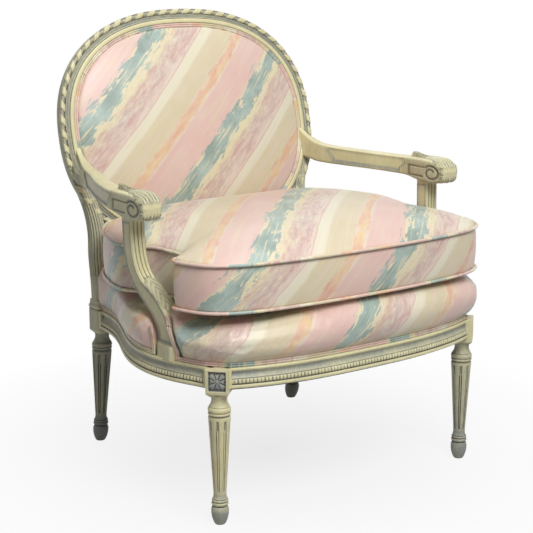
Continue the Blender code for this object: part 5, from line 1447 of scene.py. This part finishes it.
def deck_form():
    """The sprung seat before stuffing: rows from its hidden underside, round the roll, to its top."""
    inward = ring_inwards(deck_ring)
    out, y = np.abs(deck_ring[:, 0]), deck_ring[:, 1]
    fade = np.clip((SIDE_END[1] - y) / REAR_FADE, 0, 1)
    fade = fade * (1 - (1 - REAR_BULGE) * ease(SUPPORT_BASE_Y, SUPPORT_BASE_Y + 0.02, y))
    fade = fade * (1 + CORNER_BULGE * ease(0.20, 0.29, out) * ease(-0.20, -0.26, y))
    at_side = out > 0.25
    grid = []
    for depth, z in DECK_ROWS:
        low = settled(depth, z)
        inset = (depth if depth > 0 else depth * fade) - SHOULDER_SWELL * low * ease(-0.0100, 0.0095, depth)
        drawn = beside_support(y, z, NOTCH_SLACK, DRAWN_REACH) * at_side * (z > WELT_TOP)
        held = np.minimum(inset + DRAWN_IN * drawn, max(depth, WELT_INSET - 0.0008))
        ring = clear_of_supports(deck_ring + inward * held[:, None], z, at_side)
        grid.append(np.column_stack([clear_of_posts(ring), z - SHOULDER_SINK * low]))
    return np.stack(grid)


def closed_form(name, grid, material):
    """A closed mesh over rings of points, capped at both ends."""
    rows, columns = grid.shape[:2]
    index = np.arange(rows * columns).reshape(rows, columns)
    return piece_from(name, grid.reshape(-1, 3).tolist(), skin(index), material)


BATCH = 4000


def nearest(points, ring):
    """The number of the nearest point of a closed plan to each point, and its distance in plan."""
    number = np.empty(len(points), dtype=int)
    gap = np.empty(len(points))
    for start in range(0, len(points), BATCH):
        part = points[start : start + BATCH, None, :2] - ring[None, :, :]
        square = (part**2).sum(axis=2)
        number[start : start + BATCH] = square.argmin(axis=1)
        gap[start : start + BATCH] = np.sqrt(square.min(axis=1))
    return number, gap


def along_ring(points, ring, marks, total):
    """Length round a closed plan at the place nearest to each point, measured both ways from the front."""
    found = marks[nearest(points, ring)[0]]
    return np.where(found > total / 2, found - total, found)


TOP_PANEL_INSET = 0.040
deck = closed_form("sprung_seat_cover", deck_form(), satin)
remeshed(deck, voxel=0.0045)
deck_points = points_of(deck)
tacked = (deck_points[:, 2] < WELT_TOP + 0.002) | (deck_points[:, 2] > DECK_TOP - 0.003)
cut_edge = beside_support(deck_points[:, 1], deck_points[:, 2], NOTCH_SLACK, 0.012) > 0.5
tacked |= cut_edge & (np.abs(deck_points[:, 0]) > 0.27)
tacked |= deck_points[:, 1] > SIDE_END[1] - 0.006
stuffed(deck, tacked, pressure=3.0, cap=0.0035)
deck_points = points_of(deck)
deck_total = deck_marks[-1] + deck_marks[1]
deck_way = along_ring(deck_points, deck_ring, deck_marks, deck_total)
on_top = (deck_points[:, 2] > WELT_TOP + 0.5 * ROLL) & (nearest(deck_points, deck_ring)[1] > TOP_PANEL_INSET)
on_top |= deck_points[:, 2] > DECK_TOP - 0.002
lay_cloth(
    deck,
    np.where(on_top, deck_points[:, 0], deck_way),
    np.where(on_top, deck_points[:, 1] + 0.24, deck_points[:, 2] - CUSHION_HIGH_SEAM),
)
fits_frame(deck, "striped_satin", "seat_deck_pad")

# Seat welt
# A double cord covered in a strip of the same satin, glued over the tacks on the rails' ledge. It turns up
# along both edges of each arm support, where the cover is cut, and stops at the back posts.

CORD_COLUMNS = 14


def piping(name, runs, radius, rise):
    """Covered cords: each run is a path of points with the width of cloth used up to there."""
    points, faces, width = [], [], []
    start = 0
    turn = np.linspace(0, 2 * math.pi, CORD_COLUMNS, endpoint=False)
    for path, marks, loop in runs:
        way = np.roll(path, -1, axis=0) - np.roll(path, 1, axis=0) if loop else np.gradient(path, axis=0)
        way /= np.linalg.norm(way, axis=1)[:, None]
        side = np.cross(way, np.where(np.abs(way[:, 2:]) > 0.8, [[0, 1, 0]], [[0, 0, 1]]))
        side /= np.linalg.norm(side, axis=1)[:, None]
        over = np.cross(side, way)
        thick = radius * (1 + 0.04 * np.sin(marks * 310) + 0.03 * np.sin(marks * 173 + 1))[:, None, None]
        around = side[:, None] * np.cos(turn)[:, None] + over[:, None] * np.sin(turn)[:, None]
        grid = path[:, None] + thick * around
        rows = len(path)
        index = start + np.arange(rows * CORD_COLUMNS).reshape(rows, CORD_COLUMNS)
        if loop:
            beside, above = np.roll(index, -1, axis=1), np.roll(index, -1, axis=0)
            upper = np.roll(beside, -1, axis=0)
            faces += np.stack([index, beside, upper, above], axis=-1).reshape(-1, 4).tolist()
        else:
            faces += skin(index)
        points += grid.reshape(-1, 3).tolist()
        width.append(np.repeat(marks, CORD_COLUMNS))
        start += rows * CORD_COLUMNS
    piece = piece_from(name, points, faces, satin)
    width = np.concatenate(width)
    lay_cloth(piece, width, np.full(len(width), rise))
    return piece


TURN_UP = 0.060


def welt_paths(edge):
    """Lower and upper cord over a plan edge that has the seat on its left."""
    path, marks = stepped(edge, 0.003)
    plan = path + inwards(path) * WELT_INSET
    runs = []
    for level in (1, 3):
        z = SHOW_TOP + 0.0003 + level * CORD_RADIUS
        runs.append((np.column_stack([plan, np.full(len(plan), z)]), marks, False))
    return runs


def turn_up(side, front):
    """The two cords where the welt climbs the front or rear edge of an arm support."""
    z = np.linspace(SHOW_TOP + 0.002, RAIL_TOP + (TURN_UP if front else 0.6 * TURN_UP), 40)
    _, middle, half = support_at(z)
    rows = np.array(DECK_ROWS[2:-3])
    inset = np.interp(z, rows[:, 1], rows[:, 0])
    inset = np.where(inset < 0, inset * (1 if front else REAR_BULGE), inset)
    inset = np.minimum(inset + DRAWN_IN * ease(WELT_TOP - 0.004, WELT_TOP + 0.004, z), WELT_INSET)
    runs = []
    for k in (0, 1):
        away = half + CORD_RADIUS * (1 + 2 * k) + 0.0002
        y = middle - away if front else middle + away
        x = seat_half_width(y) - inset + 0.0006
        runs.append((np.column_stack([side * x, y, z]), z - z[0] + 0.35, False))
    return runs


welt_gap = SUPPORT_FOOT_DEPTH / 2 + 0.0010
front_part = right_edge[right_edge[:, 1] < SUPPORT_BASE_Y - welt_gap]
front_welt = welt_paths(np.vstack([front_part[:0:-1] * np.array([-1, 1]), front_part]))
front_welt += turn_up(-1, True) + turn_up(1, True)
fits_frame(piping("front_seat_welt", front_welt, CORD_RADIUS, 0.02), "satin_welt", "seat_welt_front")
rear_part = right_edge[(right_edge[:, 1] > SUPPORT_BASE_Y + welt_gap) & (right_edge[:, 0] > SIDE_END[0])]
rear_part = rear_part[rear_part[:, 1] < SIDE_END[1]]
rear_welt = welt_paths(rear_part) + turn_up(1, False)
fits_frame(piping("side_seat_welt_right", rear_welt, CORD_RADIUS, 0.05), "satin_welt", "seat_welt_right")
rear_welt = welt_paths(flipped(rear_part)) + turn_up(-1, False)
fits_frame(piping("side_seat_welt_left", rear_welt, CORD_RADIUS, 0.05), "satin_welt", "seat_welt_left")
back_reach = POST_X - POST_BLOCK_HALF - 0.001
back_welt_path = np.stack([np.linspace(back_reach, -back_reach, 80), np.full(80, BACK_EDGE_Y)], axis=1)
back_welt = piping("back_seat_welt", welt_paths(back_welt_path), CORD_RADIUS, 0.08)
fits_frame(back_welt, "satin_welt", "seat_welt_back")

# Padded back
# A crowned pad over webbing in the oval, covered in the satin and tacked into the front rebate under a
# double welt. Behind, the outside back is one lightly padded piece of the satin in the rear rebate.

PAD_CROWN = 0.036
PAD_BACK = -0.0074
PAD_EDGE, PAD_LEVEL = 0.0018, -0.0020
PANEL_OUT = 0.0078
OVAL_COLUMNS = 260


def oval_rings(rings):
    """Rings of the oval drawn in towards its centre, each at a height over the frame's plane."""
    angle = np.interp(np.arange(OVAL_COLUMNS) / OVAL_COLUMNS * RIM_LENGTH[-1], RIM_LENGTH, FULL_TURN)
    grid = []
    for share, out, forward in rings:
        ring = oval(angle, out, 0.0)
        grid.append(FRAME_CENTRE + (ring - FRAME_CENTRE) * share + forward * FRAME_FRONT)
    return np.stack(grid)


def back_cloth(piece, hand, lift):
    """The satin laid square on the back: across the chair and up the slope of the back."""
    points = points_of(piece) - FRAME_CENTRE
    lay_cloth(piece, hand * points[:, 0], points @ FRAME_UP + lift)


pad_rings = [(0.5, PAD_EDGE, PAD_BACK), (1.0, PAD_EDGE, PAD_BACK), (1.0, PAD_EDGE, PAD_LEVEL)]
for share in (0.985, 0.96, 0.92, 0.86, 0.78, 0.68, 0.56, 0.42, 0.26, 0.10):
    pad_rings.append((share, PAD_EDGE, PAD_LEVEL + PAD_CROWN * (1 - share**2) ** 0.75))
back_pad = closed_form("padded_inside_back", oval_rings(pad_rings), satin)
remeshed(back_pad, voxel=0.005)
pad_points = points_of(back_pad) - FRAME_CENTRE
pad_forward = pad_points @ FRAME_FRONT
stuffed(back_pad, pad_forward < 0.0025, pressure=3.0, cap=0.006)
back_cloth(back_pad, 1, 0.33)
fits_frame(back_pad, "striped_satin", "back_pad")

welt_angle = np.interp(np.arange(520) / 520 * RIM_LENGTH[-1], RIM_LENGTH, FULL_TURN)
welt_marks = np.arange(520) / 520 * RIM_LENGTH[-1] * 0.92
back_cords = []
for place in (0.0024, 0.0066):
    back_cords.append((oval(welt_angle, place, -0.0022), welt_marks, True))
fits_frame(piping("oval_welt", back_cords, CORD_RADIUS, 0.11), "satin_welt", "back_welt")

panel_rings = [(0.5, PANEL_OUT, -0.0345), (1.0, PANEL_OUT, -0.0345)]
panel_rings += [(1.0, PANEL_OUT, -0.0362), (0.985, PANEL_OUT, -0.0376)]
for share in (0.95, 0.88, 0.78, 0.64, 0.46, 0.26, 0.10):
    panel_rings.append((share, PANEL_OUT, -0.0366 - 0.0062 * (1 - share**2)))
outside_back = closed_form("outside_back", oval_rings(panel_rings), satin)
back_cloth(outside_back, -1, 0.10)
fits_frame(outside_back, "striped_satin", "outside_back_panel")

# Loose seat cushion
# A T-shaped box cushion with a feather-like crown: two satin panels and a boxing strip, with a piped seam
# above and below. It lies loose on the sprung seat, with its ears in front of the arm supports and its sides
# swelling out behind them.

CUSHION_FRONT, CUSHION_BACK = -0.327, 0.183
CUSHION_REAR_HALF = 0.264
EAR_HALF, EAR_BACK = 0.344, -0.198
CUSHION_CROWN = 0.050
BOXING_SWELL = 0.003
SEAM_RISE = 0.003
WELT_RADIUS = 0.0029
CUSHION_MIDDLE = np.array([0.0, -0.072])

# half width and depth of the cushion where its sides swell out behind the arm supports
CUSHION_SWELL = ((0.335, -0.060), (0.352, -0.020), (0.338, 0.045), (0.310, 0.110))


def cushion_plan():
    """Closed plan of the cushion at its seams, anticlockwise from the middle of the front, at even steps."""
    front, back, ear, rear = CUSHION_FRONT, CUSHION_BACK, EAR_HALF, CUSHION_REAR_HALF
    body = SUPPORT_BASE_X - SUPPORT_WIDTH / 2
    half = [(0, front), (0.40 * ear, front + 0.0045), (0.74 * ear, front + 0.020)]
    half += [(0.92 * ear, front + 0.052), (ear, EAR_BACK - 0.020), (ear - 0.006, EAR_BACK)]
    half += [(body + 0.010, EAR_BACK + 0.009), (body, EAR_BACK + 0.030)]
    half += [(body, -0.130), (body + 0.005, -0.092), *CUSHION_SWELL]
    half += [(rear, back - 0.014), (0.85 * rear, back - 0.001), (0, back)]
    half = np.array(half)
    ends = half * np.array([-1, 1])
    path = through(np.vstack([ends[1], half, ends[-2]]), 24)[24:-24]
    return even_ring(path, 400)


cushion_ring, cushion_marks, cushion_total = cushion_plan()


def smoothed(piece, chosen, rounds):
    """Chosen points of a net eased up or down towards their neighbours."""
    work = bmesh.new()
    work.from_mesh(piece.data)
    work.verts.ensure_lookup_table()
    points = [work.verts[index] for index in np.nonzero(chosen)[0]]
    upright = {"use_axis_x": False, "use_axis_y": False, "use_axis_z": True}
    for _ in range(rounds):
        bmesh.ops.smooth_vert(work, verts=points, factor=0.5, **upright)
    work.to_mesh(piece.data)
    work.free()


def cushion_form():
    """The cushion before it is stuffed: flat below, straight boxing, and a low crown above."""
    inward = ring_inwards(cushion_ring)
    grid = []

    def ring_at(share, inset, z):
        plan = CUSHION_MIDDLE + (cushion_ring + inward * inset - CUSHION_MIDDLE) * share
        grid.append(np.column_stack([plan, np.full(len(plan), z)]))

    bottom = DECK_TOP + FIT
    for share in (0.3, 0.6, 0.85, 0.95):
        ring_at(share, 0.0, bottom)
    ring_at(1.0, 0.0045, bottom + 0.0012)
    for step in np.linspace(0, 1, 9):
        swell = BOXING_SWELL * math.sin(math.pi * step)
        ring_at(1.0, -swell, CUSHION_LOW_SEAM + (CUSHION_HIGH_SEAM - CUSHION_LOW_SEAM) * step)
    for share in (0.985, 0.95, 0.90, 0.83, 0.74, 0.62, 0.48, 0.32, 0.15):
        crown = (CUSHION_CROWN - SEAM_RISE) * (1 - share**3) ** 0.75
        ring_at(share, 0.0, CUSHION_HIGH_SEAM + SEAM_RISE + crown)
    return np.stack(grid)


cushion = closed_form("loose_seat_cushion", cushion_form(), satin)
remeshed(cushion, voxel=0.006)
cushion_points = points_of(cushion)
seam_gap = np.minimum(
    np.abs(cushion_points[:, 2] - CUSHION_LOW_SEAM), np.abs(cushion_points[:, 2] - CUSHION_HIGH_SEAM)
)
sewn_points = (seam_gap < 0.0035) & (nearest(cushion_points, cushion_ring)[1] < 0.007)
sewn_points |= cushion_points[:, 2] < DECK_TOP + 0.004
smoothed(cushion, cushion_points[:, 2] > CUSHION_HIGH_SEAM + 0.006, rounds=110)
stuffed(cushion, sewn_points, pressure=4.0, cap=0.007)
cushion_points = points_of(cushion)
cushion_way = along_ring(cushion_points, cushion_ring, cushion_marks, cushion_total)
above_seam = cushion_points[:, 2] > CUSHION_HIGH_SEAM + 0.0005
below_seam = cushion_points[:, 2] < CUSHION_LOW_SEAM - 0.0015
panel = above_seam | below_seam
lay_cloth(
    cushion,
    np.where(panel, cushion_points[:, 0], cushion_way),
    np.where(panel, cushion_points[:, 1] - CUSHION_FRONT, cushion_points[:, 2] - CUSHION_HIGH_SEAM),
    np.where(panel, 0.0, 1.0),
)
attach(cushion, "cushion")
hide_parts("seat_cushion")

for level, z in (("low", CUSHION_LOW_SEAM), ("high", CUSHION_HIGH_SEAM)):
    seam = cushion_ring - ring_inwards(cushion_ring) * (WELT_RADIUS * 1.05)
    cord = [(np.column_stack([seam, np.full(len(seam), z)]), cushion_marks, True)]
    welt = piping(f"cushion_piping_{level}", cord, WELT_RADIUS, 0.06)
    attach(welt, "cushion")
    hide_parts(f"cushion_welt_{level}")

# Studio
# A plain pale floor, a large soft key from the front left, a weak fill from the left, and soft lamps above
# and behind. The camera stands where the photograph was taken from.

FLOOR_SIZE = 14.0
WHITE = (1.0, 1.0, 1.0)


def pale_floor():
    """Matt white floor that reads as white to the lens but keeps the chair's shadow."""
    floor = Finish("pale floor")
    tree = floor.tree
    matt = tree.nodes.new("ShaderNodeBsdfDiffuse")
    matt.inputs["Color"].default_value = (0.50, 0.50, 0.50, 1)
    glow = tree.nodes.new("ShaderNodeEmission")
    glow.inputs["Color"].default_value = (*WHITE, 1)
    path = tree.nodes.new("ShaderNodeLightPath")
    seen = Shade(floor, path.outputs["Is Camera Ray"]) + Shade(floor, path.outputs["Is Glossy Ray"])
    seen = (seen + Shade(floor, path.outputs["Is Transmission Ray"])).clip()
    place = floor.node("ShaderNodeNewGeometry", out="Position")
    far = floor.node("ShaderNodeVectorMath", {"operation": "LENGTH"}, {0: place}, "Value")
    seen = seen * (0.90 + (far - 0.45) * 0.24).clip()
    blend = tree.nodes.new("ShaderNodeMixShader")
    tree.links.new(seen.socket, blend.inputs["Fac"])
    tree.links.new(matt.outputs["BSDF"], blend.inputs[1])
    tree.links.new(glow.outputs["Emission"], blend.inputs[2])
    tree.links.new(blend.outputs["Shader"], tree.nodes["Material Output"].inputs["Surface"])
    tree.nodes.remove(floor.shader)
    return floor.material


reach = FLOOR_SIZE / 2
corners = [(-reach, -reach, 0), (reach, -reach, 0), (reach, reach, 0), (-reach, reach, 0)]
floor = piece_from("floor", corners, [(0, 1, 2, 3)], pale_floor())

world = bpy.data.worlds.new("studio")
bpy.context.scene.world = world
world.use_nodes = True
sky = world.node_tree
backdrop = sky.nodes["Background"]
backdrop.inputs["Color"].default_value = (*WHITE, 1)
ray = sky.nodes.new("ShaderNodeLightPath")
lens = sky.nodes.new("ShaderNodeMath")
lens.operation = "ADD"
sky.links.new(ray.outputs["Is Camera Ray"], lens.inputs[0])
sky.links.new(ray.outputs["Is Transmission Ray"], lens.inputs[1])
lit = sky.nodes.new("ShaderNodeMath")
lit.operation = "ADD"
lit.use_clamp = True
sky.links.new(lens.outputs[0], lit.inputs[0])
sky.links.new(ray.outputs["Is Glossy Ray"], lit.inputs[1])
level = sky.nodes.new("ShaderNodeMapRange")
sky.links.new(lit.outputs[0], level.inputs["Value"])
level.inputs["To Min"].default_value = 0.09
level.inputs["To Max"].default_value = 1.0
sky.links.new(level.outputs["Result"], backdrop.inputs["Strength"])


def soft_lamp(name, place, aim, size, power):
    """A square lamp that faces a point of the chair."""
    lamp = bpy.data.lights.new(name, "AREA")
    lamp.shape = "SQUARE"
    lamp.size = size
    lamp.energy = power
    holder = bpy.data.objects.new(name, lamp)
    holder.location = place
    holder.rotation_euler = (Vector(aim) - Vector(place)).to_track_quat("-Z", "Y").to_euler()
    bpy.context.scene.collection.objects.link(holder)


soft_lamp("key", (-0.45, -2.10, 2.70), (0, 0, 0.45), size=1.5, power=87)
soft_lamp("fill", (-2.6, -1.9, 1.3), (0, 0, 0.4), size=1.8, power=3)
soft_lamp("overhead", (0.2, 0.0, 3.0), (0, 0, 0.3), size=1.8, power=18)
soft_lamp("back", (0.9, 2.5, 1.9), (0, 0.2, 0.55), size=1.6, power=17)

CAMERA_EYE = Vector((-1.6252, -2.2792, 1.0260))
CAMERA_AIM = Vector((0.0011, -0.0013, 0.3912))
lens_data = bpy.data.cameras.new("camera")
lens_data.lens = 95.37
lens_data.sensor_width = 36
camera = bpy.data.objects.new("camera", lens_data)
camera.location = CAMERA_EYE
camera.rotation_euler = (CAMERA_AIM - CAMERA_EYE).to_track_quat("-Z", "Y").to_euler()
bpy.context.scene.collection.objects.link(camera)
bpy.context.scene.camera = camera
bpy.context.scene.view_settings.view_transform = "Standard"
